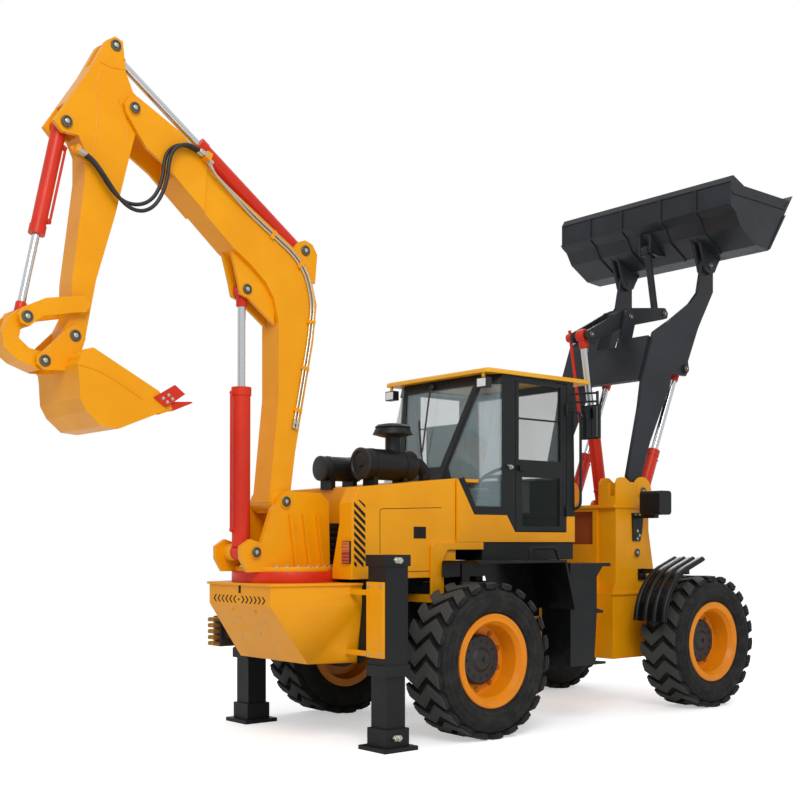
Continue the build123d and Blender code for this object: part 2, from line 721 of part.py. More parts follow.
# Rear fenders with steps, and the arches that carry the hood's corners
FENDER_INNER = TRACK / 2 - TYRE_WIDTH / 2 - 25
FENDER_OUTER = TRACK / 2 + 160
STEP_INNER = TRACK / 2 - 200
STEP_OUTER = TRACK / 2 + 110
DECK_LOW = TYRE_DIAMETER + 140
DECK_FRONT = TYRE_DIAMETER / 2 + 345
with BuildPart() as rear_fenders:
    fender = [
        (-150, DECK_LOW),
        (-150, DECK_LOW + 20),
        (DECK_FRONT - 119, DECK_LOW + 20),
        (DECK_FRONT, 932),
        (DECK_FRONT - 25, 926),
        (DECK_FRONT - 135, DECK_LOW),
    ]
    twin_slab(fender, FENDER_INNER, FENDER_OUTER)
    # wall inside the wheel
    wall = [
        (-150, DECK_LOW + 10),
        (DECK_FRONT - 125, DECK_LOW + 10),
        (DECK_FRONT - 20, 940),
        (DECK_FRONT - 20, 860),
        (430, 860),
        (300, DECK_LOW - 105),
        (-150, DECK_LOW - 105),
    ]
    twin_slab(wall, FENDER_INNER - 8, FENDER_INNER)
    # steps: two side plates, a back plate and the treads
    step_side = [
        (DECK_FRONT - 25, DECK_LOW - 10),
        (DECK_FRONT + 465, DECK_LOW - 10),
        (DECK_FRONT + 465, DECK_LOW - 38),
        (DECK_FRONT + 365, DECK_LOW - 38),
        (DECK_FRONT + 295, DECK_LOW - 120),
        (DECK_FRONT + 295, 925),
        (DECK_FRONT + 375, 905),
        (DECK_FRONT + 375, 885),
        (DECK_FRONT + 295, 885),
        (DECK_FRONT + 265, 505),
        (DECK_FRONT + 405, 490),
        (DECK_FRONT + 405, 470),
        (DECK_FRONT - 20, 470),
        (DECK_FRONT - 20, 900),
    ]
    twin_slab(step_side, STEP_INNER, STEP_INNER + 12)
    twin_slab(step_side, STEP_OUTER - 12, STEP_OUTER)
    between = (STEP_INNER + 12, STEP_OUTER - 12)
    twin_block((DECK_FRONT - 20, DECK_FRONT + 465), between, (DECK_LOW - 30, DECK_LOW - 10))
    twin_block((DECK_FRONT + 25, DECK_FRONT + 375), between, (885, 903))
    twin_block((DECK_FRONT + 5, DECK_FRONT + 405), between, (470, 488))
    twin_block((DECK_FRONT - 20, DECK_FRONT - 8), between, (470, DECK_LOW - 10))
    shelf = [
        (DECK_FRONT - 125, DECK_LOW - 10),
        (DECK_FRONT - 13, DECK_LOW - 10),
        (DECK_FRONT - 13, DECK_LOW - 30),
        (DECK_FRONT - 113, DECK_LOW - 30),
    ]
    twin_slab(shelf, STEP_INNER, STEP_OUTER - 12)
    # beams from the chassis
    twin_block((40, 120), (310, FENDER_INNER), (1130, 1200))
    twin_block((40, 120), (FENDER_INNER, FENDER_INNER + 10), (1130, DECK_LOW))
    twin_block((DECK_FRONT + 35, DECK_FRONT + 105), (310, STEP_INNER), (1000, 1080))
save(rear_fenders, "rear_fenders")

with BuildPart() as hood_arches:
    twin_slab(
        [
            (-229, 1000),
            (-229, 1430),
            (-200, 1458),
            (318, 1458),
            (318, 1400),
            (-60, 1400),
            (-100, 1340),
            (-100, 1000),
        ],
        HOOD_HALF,
        HOOD_HALF + 22,
    )
    twin_block((-229, -100), (310, HOOD_HALF + 22), (1000, 1060))
save(hood_arches, "hood_arches")

CLEANER_Y = -300.0
with BuildPart() as air_cleaner:
    with BuildSketch(Plane(origin=(REAR_AXLE_X - 650, CLEANER_Y, 2050), x_dir=(0, 1, 0), z_dir=(1, 0, 0))):
        Circle(118)
    extrude(amount=470)
    for z, radius, height, taper in ((2100, 58, 200, 0), (2285, 155, 60, 25)):
        with BuildSketch(Plane(origin=(REAR_AXLE_X - 343, CLEANER_Y, z))):
            Circle(radius)
        extrude(amount=height, taper=taper)
    elbow = [(-190, 2065), (-80, 2065), (-20, 2000), (-20, 1935)]
    with BuildLine() as elbow_path:
        FilletPolyline(*[(REAR_AXLE_X + x, CLEANER_Y, z) for x, z in elbow], radius=60)
    with BuildSketch(Plane(origin=elbow_path.line @ 0, z_dir=elbow_path.line % 0)):
        Circle(52)
    sweep(path=elbow_path.line)
    # silencer of the exhaust, lying beside the cleaner
    with BuildSketch(Plane(origin=(REAR_AXLE_X - 807, 0, 2022), x_dir=(0, 1, 0), z_dir=(1, 0, 0))):
        Circle(94)
    extrude(amount=348)
    for x, y in ((-560, CLEANER_Y), (-270, CLEANER_Y), (-740, 0), (-530, 0)):
        block((x - 20, x + 20), (y - 70, y + 70), (1860, 1960))
    add(hood.part, mode=Mode.SUBTRACT)
    add(hood_cavity.part, mode=Mode.SUBTRACT)
save(air_cleaner, "air_cleaner")

# Front frame, built back from the front axle
BEAM_TOP = 1000.0
COLUMN_INNER = 330.0
COLUMN_OUTER = 530.0
PLATE = 15.0
WAIST_Z = 1765.0
with BuildPart() as front_frame:
    # cross wall with its opening, the flange at the waist and the top brace
    block((WHEELBASE - 713, WHEELBASE - 688), (-COLUMN_INNER, COLUMN_INNER), (560, WAIST_Z))
    block((WHEELBASE - 714, WHEELBASE - 687), (-280, 280), (1440, 1735), Mode.SUBTRACT)
    block((WHEELBASE - 738, WHEELBASE - 668), (-COLUMN_INNER, COLUMN_INNER), (WAIST_Z, WAIST_Z + 25))
    block((WHEELBASE - 413, WHEELBASE - 183), (-COLUMN_INNER, COLUMN_INNER), (1640, 1700))
    eye_plate(ahead([(-321, 1700), (-311, 1800), (-195, 1800), (-185, 1700)]), [(TILT_BASE, 60)], 72, 96)
    eye_plate(ahead([(-321, 1700), (-311, 1800), (-195, 1800), (-185, 1700)]), [(TILT_BASE, 60)], -96, -72)
    cross_pin(TILT_BASE, -96, 96, base_pin(TILT_BARREL_R))
    # belly and beams over the axle
    slab(
        ahead([(-856, 500), (-856, 1120), (-688, 1120), (-273, 985), (-273, 430), (-733, 430)]),
        -COLUMN_INNER,
        COLUMN_INNER,
    )
    twin_block((WHEELBASE - 273, WHEELBASE + 467), (200, COLUMN_INNER), (RAIL_LOW, BEAM_TOP))
    block((WHEELBASE + 387, WHEELBASE + 467), (-200, 200), (RAIL_LOW, BEAM_TOP))
    # articulation lugs with their pins
    for height in LUG_HEIGHTS:
        plan([(HINGE, -105), (WHEELBASE - 843, -140), (WHEELBASE - 843, 140), (HINGE, 105)], height - 25, height + 25)
        for half, radius in ((25, 105), (62, 35)):
            with BuildSketch(deck(height - half)):
                with Locations((HINGE, 0)):
                    Circle(radius)
            extrude(amount=2 * half)
save(front_frame, "front_frame")

# Two hollow columns that carry the arms, each with a gap for its lift cylinder
with BuildPart() as tower_columns:
    plate = ahead(
        [
            (-733, 430),
            (-733, BEAM_TOP + 10),
            (-693, 1100),
            (-693, 1985),
            (-663, 2028),
            (-623, 2036),
            (-563, 2036),
            (-498, 1996),
            (-326, 1990),
            (-237, 1917),
            (-237, 1565),
            (-169, 1222),
            (-193, BEAM_TOP + 10),
            (-273, 430),
        ]
    )
    lobe = [(ARM_PIVOT, 131)]
    twin_eye_plate(plate, lobe, COLUMN_INNER, COLUMN_INNER + PLATE)
    twin_eye_plate(plate, lobe, COLUMN_OUTER - PLATE, COLUMN_OUTER)
    gap = (COLUMN_INNER + PLATE, COLUMN_OUTER - PLATE)
    twin_block((WHEELBASE - 693, WHEELBASE - 668), gap, (BEAM_TOP + 10, 1980))
    twin_block((WHEELBASE - 694, WHEELBASE - 667), (450, gap[1]), (1870, 1981), Mode.SUBTRACT)
    twin_block((WHEELBASE - 733, WHEELBASE - 193), gap, (BEAM_TOP - 15, BEAM_TOP + 10))
    twin_block((WHEELBASE - 733, WHEELBASE - 708), gap, (430, BEAM_TOP - 15))
    # flange at the waist and ledge at the foot
    twin_block((WHEELBASE - 738, WHEELBASE - 693), (COLUMN_INNER, COLUMN_OUTER), (WAIST_Z, WAIST_Z + 25))
    twin_block((WHEELBASE - 738, WHEELBASE - 237), (COLUMN_OUTER, COLUMN_OUTER + PLATE), (WAIST_Z, WAIST_Z + 25))
    twin_block((WHEELBASE - 748, WHEELBASE - 183), (COLUMN_OUTER, COLUMN_OUTER + PLATE), (BEAM_TOP - 5, BEAM_TOP + 15))
    # pins of the arms and lift cylinders, with their covers
    for pin, radius in ((ARM_PIVOT, 45), (LIFT_BASE, base_pin(LIFT_BARREL_R))):
        twin_pin(pin, *gap, radius)
        twin_pin(pin, COLUMN_OUTER, COLUMN_OUTER + 8, radius + 22)
save(tower_columns, "tower_columns")

# Front fenders: a rolled sheet behind the wheel, then straight, with three ribs
FENDER_CENTRE = (WHEELBASE - 153, WHEEL_CENTRE_Z + 180)
FENDER_RADIUS = TYRE_DIAMETER / 2 - 70


def rolled(y_low, y_high, radius, thickness):
    """Part of the front fender's rolled sheet between two Y values."""
    with BuildSketch(side(y_high)) as outline:
        with BuildLine():
            outer = CenterArc(FENDER_CENTRE, radius, 178, -68)
            inner = CenterArc(FENDER_CENTRE, radius - thickness, 178, -68)
            top = Line(outer @ 1, outer @ 1 + outer % 1 * 228)
            under = Line(inner @ 1, inner @ 1 + inner % 1 * 228)
            Line(outer @ 0, inner @ 0)
            Line(top @ 1, under @ 1)
        make_face()
    extrude(outline.sketch, amount=y_high - y_low)


with BuildPart() as front_fenders:
    for s in (-1, 1):
        y_low, y_high = sorted((s * (TRACK / 2 - 190), s * FENDER_OUTER))
        rolled(y_low, y_high, FENDER_RADIUS, 14)
        for y in (TRACK / 2 - 110, TRACK / 2 - 5, TRACK / 2 + 100):
            rolled(s * y - 14, s * y + 14, FENDER_RADIUS + 9, 12)
    # brackets bolted to the columns, with a bar under each sheet
    bar_x = FENDER_CENTRE[0] - 0.367 * FENDER_RADIUS
    bar_top = FENDER_CENTRE[1] + 0.906 * FENDER_RADIUS
    bracket = (COLUMN_OUTER, COLUMN_OUTER + PLATE)
    twin_block((bar_x - 50, bar_x + 50), bracket, (bar_top - 102, bar_top - 2))
    twin_block((bar_x - 20, bar_x + 20), (bracket[1], FENDER_OUTER - 10), (bar_top - 42, bar_top))
save(front_fenders, "front_fenders")

with BuildPart() as headlights:
    for s in (-1, 1):
        y_low, y_high = sorted((s * 640, s * 860))
        slab(ahead([(-504, 1700), (-334, 1700), (-334, 1911), (-504, 1911)]), y_low, y_high, radius=32)
    twin_slab(
        ahead([(-468, 1470), (-368, 1470), (-341, 1560), (-321, 1721), (-482, 1721), (-473, 1560)]),
        COLUMN_OUTER,
        COLUMN_OUTER + PLATE,
    )
    twin_block((WHEELBASE - 451, WHEELBASE - 383), (COLUMN_OUTER + PLATE, 760), (1672, 1700))
save(headlights, "headlights")

# Loader: arms, bell crank, link, bucket and cylinders
with BuildPart() as loader_arms:
    twin_slab(
        ahead([
            (-413, 1860),
            (-326, 1815),
            (-239, 1862),
            (-223, 1917),
            (-313, 2058),
            (-190, 2365),
            (85, 2880),
            (128, 3022),
            (247, 3020),
            (347, 3020),
            (392, 3085),
            (377, 3160),
            (534, 3490),
            (770, 3864),
            (770, 4060),
            (737, 4150),
            (678, 4185),
            (607, 4150),
            (587, 4060),
            (534, 3832),
            (412, 3712),
            (128, 3530),
            (-126, 3385),
            (-294, 2941),
            (-343, 2674),
            (-508, 2049),
            (-428, 1930),
        ]),
        ARM_INNER,
        ARM_OUTER,
    )
    twin_pin(LIFT_EYE, LIFT_CENTRE + 38, ARM_INNER, 58)
    twin_pin(LIFT_EYE, ARM_OUTER, ARM_OUTER + 20, 40)
    # cross plate, cut back for the bell crank, and the two plates that carry it
    slab(ahead([(-321, 2931), (-285, 2919), (-134, 3338), (-172, 3352)]), -ARM_INNER, ARM_INNER)
    block((WHEELBASE - 233, WHEELBASE - 93), (-CRANK_OUTER - 8, CRANK_OUTER + 8), (3280, 3360), Mode.SUBTRACT)
    twin_eye_plate(
        ahead([(-308, 2950), (-273, 2935), (-113, 3000), (59, 3560), (-91, 3587), (-165, 3352)]),
        [(CRANK_PIVOT, 78)],
        CRANK_OUTER + 8,
        CRANK_OUTER + 38,
    )
    twin_pin(ARM_PIVOT, ARM_INNER - 14, ARM_INNER, 92)
    twin_pin(ARM_PIVOT, ARM_INNER - 15, ARM_OUTER, 45 + RUNNING_GAP, Mode.SUBTRACT)
    cross_pin(CRANK_PIVOT, -CRANK_OUTER - 38, CRANK_OUTER + 38, 40)
    twin_pin(LOADER_PIVOT, ARM_INNER, ARM_OUTER, 40 + RUNNING_GAP, Mode.SUBTRACT)
save(loader_arms, "loader_arms")

with BuildPart() as lift_barrels:
    for y in (-LIFT_CENTRE, LIFT_CENTRE):
        barrel(LIFT_BASE, LIFT_EYE, LIFT_BARREL_R, LIFT_ROD_R, 1030, 45, y)
save(lift_barrels, "lift_barrels")

with BuildPart() as lift_rods:
    for y in (-LIFT_CENTRE, LIFT_CENTRE):
        rod(LIFT_BASE, LIFT_EYE, LIFT_ROD_R, 765, 25, 50, y)
save(lift_rods, "lift_rods")

with BuildPart() as tilt_barrel:
    barrel(TILT_BASE, CRANK_REAR, TILT_BARREL_R, TILT_ROD_R, 925, 60)
save(tilt_barrel, "tilt_barrel")

with BuildPart() as tilt_rod:
    rod(TILT_BASE, CRANK_REAR, TILT_ROD_R, 500, 40, 56)
save(tilt_rod, "tilt_rod")

with BuildPart() as bell_crank:
    twin_slab(
        ahead([
            (-573, 3400),
            (-583, 3345),
            (-543, 3308),
            (-483, 3320),
            (-16, 3500),
            (527, 3630),
            (587, 3650),
            (599, 3700),
            (557, 3745),
            (507, 3742),
            (-16, 3675),
            (-93, 3640),
        ]),
        CRANK_INNER,
        CRANK_OUTER,
    )
    cross_pin(CRANK_PIVOT, -CRANK_OUTER, CRANK_OUTER, 72)
    cross_pin(CRANK_PIVOT, -CRANK_OUTER, CRANK_OUTER, 40 + RUNNING_GAP, Mode.SUBTRACT)
    cross_pin(CRANK_FRONT, -CRANK_OUTER - 4, CRANK_OUTER + 4, 32)
    twin_pin(CRANK_REAR, 46, CRANK_INNER, 40)
save(bell_crank, "bell_crank")

with BuildPart() as bucket_link:
    cross_pin(CRANK_FRONT, -72, 72, 54)
    tube(CRANK_FRONT, LOADER_LINK, 0, 600, 35)
    cross_pin(LOADER_LINK, -40, 40, 54)
    cross_pin(CRANK_FRONT, -72, 72, 32 + RUNNING_GAP, Mode.SUBTRACT)
    cross_pin(LOADER_LINK, -40, 40, 28, Mode.SUBTRACT)
save(bucket_link, "bucket_link")

BUCKET_HALF = 1025.0
with BuildPart() as loader_bucket:
    slab(
        ahead([
            (315, 4731),
            (351, 4788),
            (522, 4721),
            (1254, 4721),
            (1321, 4778),
            (912, 4190),
            (709, 4208),
            (461, 4346),
            (388, 4461),
            (315, 4505),
        ]),
        -BUCKET_HALF,
        BUCKET_HALF,
    )
    slab(
        ahead([
            (372, 4850),
            (337, 4722),
            (337, 4518),
            (404, 4476),
            (477, 4361),
            (715, 4229),
            (901, 4212),
            (1307, 4795),
            (1287, 4850),
        ]),
        -BUCKET_HALF + 20,
        BUCKET_HALF - 20,
        Mode.SUBTRACT,
    )
    lug = ahead([
        (522, 4300),
        (467, 4346),
        (709, 4215),
        (847, 4198),
        (787, 4110),
        (749, 4045),
        (678, 4018),
        (612, 4045),
        (593, 4110),
    ])
    for inner, outer in ((ARM_INNER - 35, ARM_INNER - 6), (ARM_OUTER + 6, ARM_OUTER + 35)):
        twin_slab(lug, inner, outer)
    twin_pin(LOADER_PIVOT, ARM_INNER - 40, ARM_OUTER + 40, 40)
    link_ear = ahead([(373, 4270), (487, 4250), (617, 4265), (461, 4350), (392, 4461), (372, 4440)])
    twin_eye_plate(link_ear, [(LOADER_LINK, 50)], 50, 75)
    # raised ribs down the back
    back_rib = ahead([
        (301, 4731),
        (301, 4500),
        (377, 4453),
        (452, 4335),
        (705, 4195),
        (709, 4208),
        (461, 4346),
        (388, 4461),
        (315, 4505),
        (315, 4731),
    ])
    for y in (235, 640):
        twin_slab(back_rib, y - 13, y + 13)
save(loader_bucket, "loader_bucket")

# Backhoe: slewing ring, bracket, boom, stick and bucket
RING_HIGH = 1245.0
FLANGE_HIGH = RING_HIGH + 35.0
SPIGOT_RADIUS = 120.0

with BuildPart() as slew_ring:
    with BuildSketch(deck(BOX_TOP)):
        with Locations((SLEW_CENTRE, 0)):
            Circle(RING_RADIUS)
            Circle(SPIGOT_RADIUS + RUNNING_GAP, mode=Mode.SUBTRACT)
    extrude(amount=RING_HIGH - BOX_TOP)
save(slew_ring, "slew_ring")

with BuildPart() as slew_bracket:
    with BuildSketch(deck(RING_HIGH + 0.1)):
        with Locations((SLEW_CENTRE, 0)):
            Circle(RING_RADIUS - 20)
    extrude(amount=FLANGE_HIGH - RING_HIGH)
    with BuildSketch(deck(BOX_TOP + 0.1)):
        with Locations((SLEW_CENTRE, 0)):
            Circle(SPIGOT_RADIUS)
    extrude(amount=RING_HIGH - BOX_TOP)
    twin_slab(
        [
            (-1583, FLANGE_HIGH - 35),
            (-1640, 1340),
            (-1640, 1430),
            (-1560, 1480),
            (-1470, 1450),
            (-1385, 1690),
            (-1250, 1832),
            (-950, 1825),
            (-872, 1760),
            (-860, FLANGE_HIGH - 34),
        ],
        BRACKET_INNER,
        BRACKET_OUTER,
    )
    # curved ribs outside the plates, down to the flange
    for rib_x in (-1235, -1115, -995):
        twin_slab(
            [
                (rib_x - 8, 1660),
                (rib_x + 12, 1660),
                (rib_x + 70, FLANGE_HIGH),
                (rib_x + 44, FLANGE_HIGH),
            ],
            BRACKET_OUTER,
            BRACKET_OUTER + 26,
        )
    twin_pin(BOOM_CYL_BASE, 52, BRACKET_INNER, 62)
    for pin, radius in ((BOOM_FOOT, 34), (BOOM_CYL_BASE, base_pin(BOOM_BARREL_R))):
        twin_pin(pin, BRACKET_OUTER, BRACKET_OUTER + 14, radius + 14)
        cross_pin(pin, -BRACKET_OUTER, BRACKET_OUTER, radius)
    slab([(-930, FLANGE_HIGH), (-930, 1700), (-900, 1700), (-900, FLANGE_HIGH)], -BRACKET_INNER, BRACKET_INNER)
save(slew_bracket, "slew_bracket")

# Hose ends: where each pair leaves the boom and reaches the stick, and which way it runs there
HOSE_START = (-1925.0, 4140.0)
HOSE_START_RUN = (BOOM_TIP[0] - HOSE_START[0], BOOM_TIP[1] - HOSE_START[1])
HOSE_END = (-2835.0, 3985.0)
HOSE_END_RUN = (-80.0, 30.0)


def fitting(face, run, depth, half):
    """Outline of a hose fitting whose front face has its middle at a hose's end."""
    along = Vector(*run).normalized()
    across = along.rotate(Axis.Z, 90) * half
    middle = Vector(*face)
    back = middle - along * depth
    return [(p.X, p.Y) for p in (middle + across, back + across, back - across, middle - across)]


with BuildPart() as boom:
    slab(
        [
            (-2130, 3958),
            (-2130, 4282),
            (-1845, 4072),
            (-1486, 3848),
            (-1106, 3614),
            (-985, 3470),
            (-925, 3240),
            (-956, 2955),
            (-1040, 2530),
            (-1120, 2131),
            (-1172, 1760),
            (-1220, 1680),
            (-1310, 1672),
            (-1352, 1750),
            (-1310, 2122),
            (-1268, 2512),
            (-1268, 3080),
            (-1310, 3240),
            (-1380, 3345),
            (-1500, 3450),
            (-1650, 3550),
        ],
        -BOOM_HALF,
        BOOM_HALF,
    )
    cross_pin(BOOM_FOOT, -BRACKET_INNER + SIDE_GAP, BRACKET_INNER - SIDE_GAP, 84)
    cross_pin(BOOM_FOOT, -BRACKET_INNER, BRACKET_INNER, 34 + RUNNING_GAP, Mode.SUBTRACT)
    # cheek plates that hold the stick
    twin_slab(
        [
            (-1900, 3760),
            (-2200, 4018),
            (-2348, 4107),
            (-2495, 4310),
            (-2510, 4370),
            (-2470, 4425),
            (-2414, 4436),
            (-2096, 4274),
            (-1880, 4105),
        ],
        EAR_INNER,
        CHEEK_OUTER,
    )
    cross_pin(BOOM_TIP, -CHEEK_OUTER - 12, CHEEK_OUTER + 12, 40)
    # lugs for the boom cylinder's rod, and for the stick cylinder's foot
    twin_slab(
        [(-1650, 3548), (-1590, 3330), (-1570, 3240), (-1500, 3215), (-1280, 3050), (-1290, 3300), (-1480, 3470)],
        46,
        74,
    )
    twin_slab(
        [(-1150, 3600), (-1075, 3690), (-1015, 3712), (-950, 3690), (-905, 3620), (-925, 3400), (-1000, 3400)],
        60,
        90,
    )
    cross_pin(STICK_CYL_BASE, -92, 92, base_pin(STICK_BARREL_R))
    # block at the end of the pipes on the right, its face square to the stick's pivot
    slab(fitting(HOSE_START, HOSE_START_RUN, 45, 26), -202, -CHEEK_OUTER)
save(boom, "boom")

with BuildPart() as boom_barrel:
    barrel(BOOM_CYL_BASE, BOOM_CYL_EYE, BOOM_BARREL_R, BOOM_ROD_R, 1194, 46)
save(boom_barrel, "boom_barrel")

with BuildPart() as boom_rod:
    rod(BOOM_CYL_BASE, BOOM_CYL_EYE, BOOM_ROD_R, 600, 38, 50)
save(boom_rod, "boom_rod")

with BuildPart() as stick:
    slab(
        [
            (-2505, 4790),
            (-2484, 4593),
            (-2430, 4470),
            (-2338, 4400),
            (-2335, 4300),
            (-2400, 4240),
            (-2447, 4071),
            (-2562, 3619),
            (-2697, 3174),
            (-2772, 2790),
            (-2800, 2728),
            (-2870, 2712),
            (-2925, 2760),
            (-2915, 2830),
            (-2870, 2920),
            (-2864, 3150),
            (-2773, 3829),
            (-2773, 4002),
            (-2819, 4098),
            (-2930, 4100),
            (-2988, 4160),
            (-2744, 4540),
            (-2620, 4770),
            (-2560, 4810),
        ],
        -STICK_HALF,
        STICK_HALF,
    )
    # slots for the stick cylinder's eye and for the bucket cylinder's foot
    slab([(-2760, 4900), (-2720, 4600), (-2400, 4540), (-2380, 4900)], -38, 38, Mode.SUBTRACT)
    slab([(-3100, 4300), (-3100, 4000), (-2810, 4000), (-2830, 4250), (-2900, 4300)], -62, 62, Mode.SUBTRACT)
    cross_pin(BUCKET_CYL_BASE, -STICK_HALF - 10, STICK_HALF + 10, base_pin(BUCKET_BARREL_R))
    cross_pin(BOOM_TIP, -STICK_HALF, STICK_HALF, 40 + RUNNING_GAP, Mode.SUBTRACT)
    cross_pin(ROCKER_PIVOT, -ROCKER_INNER + SIDE_GAP, ROCKER_INNER - SIDE_GAP, 52)
    cross_pin(ROCKER_PIVOT, -ROCKER_INNER, ROCKER_INNER, 28 + RUNNING_GAP, Mode.SUBTRACT)
    cross_pin(DIG_PIVOT, -STICK_HALF, STICK_HALF, 34 + RUNNING_GAP, Mode.SUBTRACT)
    # bracket on the right that holds the hoses' ends
    slab(
        [(-2735, 3930), (-2735, 3985), (-2830, 4030), (-2880, 4010), (-2850, 3955)],
        -STICK_HALF - 8,
        -STICK_HALF,
    )
    slab(fitting(HOSE_END, (80.0, -30.0), 32, 22), -172, -STICK_HALF - 8)
save(stick, "stick")

# Two hoses that loop on the right from the boom's pipes to the bucket cylinder's feed,
# each with its Y at both ends and its free points as (x, y, z)
HOSE_RADIUS = 13.0
HOSES = {
    "hose_upper": (
        -150,
        [
            (-2113, -152, 4175),
            (-2185, -156, 4130),
            (-2230, -160, 4058),
            (-2242, -165, 3930),
            (-2285, -162, 3808),
            (-2352, -158, 3733),
            (-2440, -152, 3700),
            (-2532, -143, 3712),
            (-2612, -136, 3778),
            (-2688, -128, 3889),
        ],
        -124,
    ),
    "hose_lower": (
        -184,
        [
            (-2112, -186, 4168),
            (-2178, -188, 4118),
            (-2212, -190, 4035),
            (-2222, -190, 3915),
            (-2262, -187, 3795),
            (-2325, -184, 3700),
            (-2412, -178, 3655),
            (-2505, -176, 3668),
            (-2585, -172, 3735),
            (-2680, -165, 3862),
        ],
        -154,
    ),
}
for name, (y_start, free, y_end) in HOSES.items():
    route = [
        (HOSE_START[0], y_start, HOSE_START[1]),
        (HOSE_START[0] + 0.2 * HOSE_START_RUN[0], y_start, HOSE_START[1] + 0.2 * HOSE_START_RUN[1]),
        *free,
        (HOSE_END[0] - HOSE_END_RUN[0], y_end, HOSE_END[1] - HOSE_END_RUN[1]),
        (HOSE_END[0], y_end, HOSE_END[1]),
    ]
    places = [Vector(REAR_AXLE_X + x, y, z) for x, y, z in route]
    radii = []
    for back, here, on in zip(places, places[1:], places[2:]):
        half_turn = radians((here - back).get_angle(on - here) / 2)
        radii.append(0.45 * min((here - back).length, (on - here).length) / tan(half_turn))
    print(name, "radii", [round(radius) for radius in radii])
    with BuildPart() as hose:
        with BuildLine() as path:
            FilletPolyline(*places, radius=radii)
        with BuildSketch(Plane(origin=places[0], z_dir=places[1] - places[0])):
            Circle(HOSE_RADIUS)
        sweep(path=path.line)
    length = sum(edge.length for edge in path.edges())
    print(name, "length", round(length), "volume", round(hose.part.volume))
    save(hose, name)

with BuildPart() as stick_barrel:
    barrel(STICK_CYL_BASE, STICK_TOP, STICK_BARREL_R, STICK_ROD_R, 1070, 54)
save(stick_barrel, "stick_barrel")

with BuildPart() as stick_rod:
    rod(STICK_CYL_BASE, STICK_TOP, STICK_ROD_R, 770, 30, 46)
save(stick_rod, "stick_rod")

with BuildPart() as bucket_barrel:
    barrel(BUCKET_CYL_BASE, ROCKER_END, BUCKET_BARREL_R, BUCKET_ROD_R, 749, 54)
save(bucket_barrel, "bucket_barrel")

with BuildPart() as bucket_rod:
    rod(BUCKET_CYL_BASE, ROCKER_END, BUCKET_ROD_R, 552, 30, 44)
save(bucket_rod, "bucket_rod")

with BuildPart() as rocker:
    twin_slab(
        [
            (-2770, 3030),
            (-2762, 2985),
            (-2790, 2942),
            (-2850, 2935),
            (-3080, 2883),
            (-3170, 2812),
            (-3225, 2825),
            (-3243, 2880),
            (-3215, 2925),
            (-3062, 3003),
            (-2850, 3044),
            (-2800, 3050),
        ],
        ROCKER_INNER,
        ROCKER_OUTER,
    )
    cross_pin(ROCKER_PIVOT, -ROCKER_OUTER, ROCKER_OUTER, 28)
    twin_pin(ROCKER_END, 42, ROCKER_OUTER, 28)
save(rocker, "rocker")

with BuildPart() as dig_link:
    slab(
        [
            (-3150, 2925),
            (-3210, 2925),
            (-3290, 2860),
            (-3325, 2770),
            (-3310, 2670),
            (-3220, 2600),
            (-3085, 2552),
            (-3025, 2570),
            (-3008, 2640),
            (-3045, 2665),
            (-3150, 2685),
            (-3215, 2740),
            (-3205, 2800),
            (-3140, 2825),
            (-3125, 2880),
        ],
        -95,
        95,
    )
    slab([(-3000, 3000), (-3345, 3000), (-3345, 2786), (-3000, 2766)], -38, 38, Mode.SUBTRACT)
    cross_pin(ROCKER_END, -95, 95, 28 + RUNNING_GAP, Mode.SUBTRACT)
    cross_pin(DIG_LINK, -95, 95, 26, Mode.SUBTRACT)
save(dig_link, "dig_link")

DIG_HALF = 310.0
with BuildPart() as dig_bucket:
    slab(
        [
            (-2924, 2585),
            (-2870, 2680),
            (-2815, 2695),
            (-2351, 2455),
            (-2260, 2344),
            (-2341, 2314),
            (-2639, 2190),
            (-2760, 2199),
            (-2861, 2286),
            (-2906, 2367),
            (-2915, 2518),
        ],
        -DIG_HALF,
        DIG_HALF,
    )
    slab(
        [
            (-2800, 2780),
            (-2826, 2668),
            (-2866, 2655),
            (-2902, 2585),
            (-2893, 2520),
            (-2885, 2374),
            (-2845, 2301),
            (-2753, 2220),
            (-2643, 2211),
            (-2349, 2334),
            (-2230, 2372),
            (-2200, 2500),
            (-2400, 2780),
        ],
        -DIG_HALF + 20,
        DIG_HALF - 20,
        Mode.SUBTRACT,
    )
    # teeth
    for y in (-280, -140, 0, 140, 280):
        slab([(-2330, 2350), (-2240, 2385), (-2109, 2396), (-2225, 2345), (-2345, 2303)], y - 27, y + 27)
    # torque tube and the ears that carry pin and link
    cross_pin((-2862, 2630), -DIG_HALF, DIG_HALF, 42)
    twin_slab(
        [
            (-2910, 2830),
            (-2855, 2862),
            (-2800, 2835),
            (-2782, 2780),
            (-2812, 2690),
            (-2826, 2600),
            (-2905, 2560),
            (-3059, 2552),
            (-3112, 2585),
            (-3112, 2640),
            (-3070, 2668),
        ],
        EAR_INNER,
        EAR_OUTER,
    )
    cross_pin(DIG_PIVOT, -EAR_OUTER, EAR_OUTER, 34)
save(dig_bucket, "dig_bucket")
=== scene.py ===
"""Looks of the articulated backhoe loader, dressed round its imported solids.

Lengths in the classes are millimetres on the axes of the part's source: x forward from the
rear axle, y to the left of the centre plane, z above the ground. They become metres in the
shared frame in one place, the function site().
"""

import json
import logging
import math
from dataclasses import dataclass
from enum import Enum
from typing import Iterable, NamedTuple, Optional, Sequence, Union

import bmesh
import bpy
from mathutils import Matrix, Vector
from mathutils.bvhtree import BVHTree


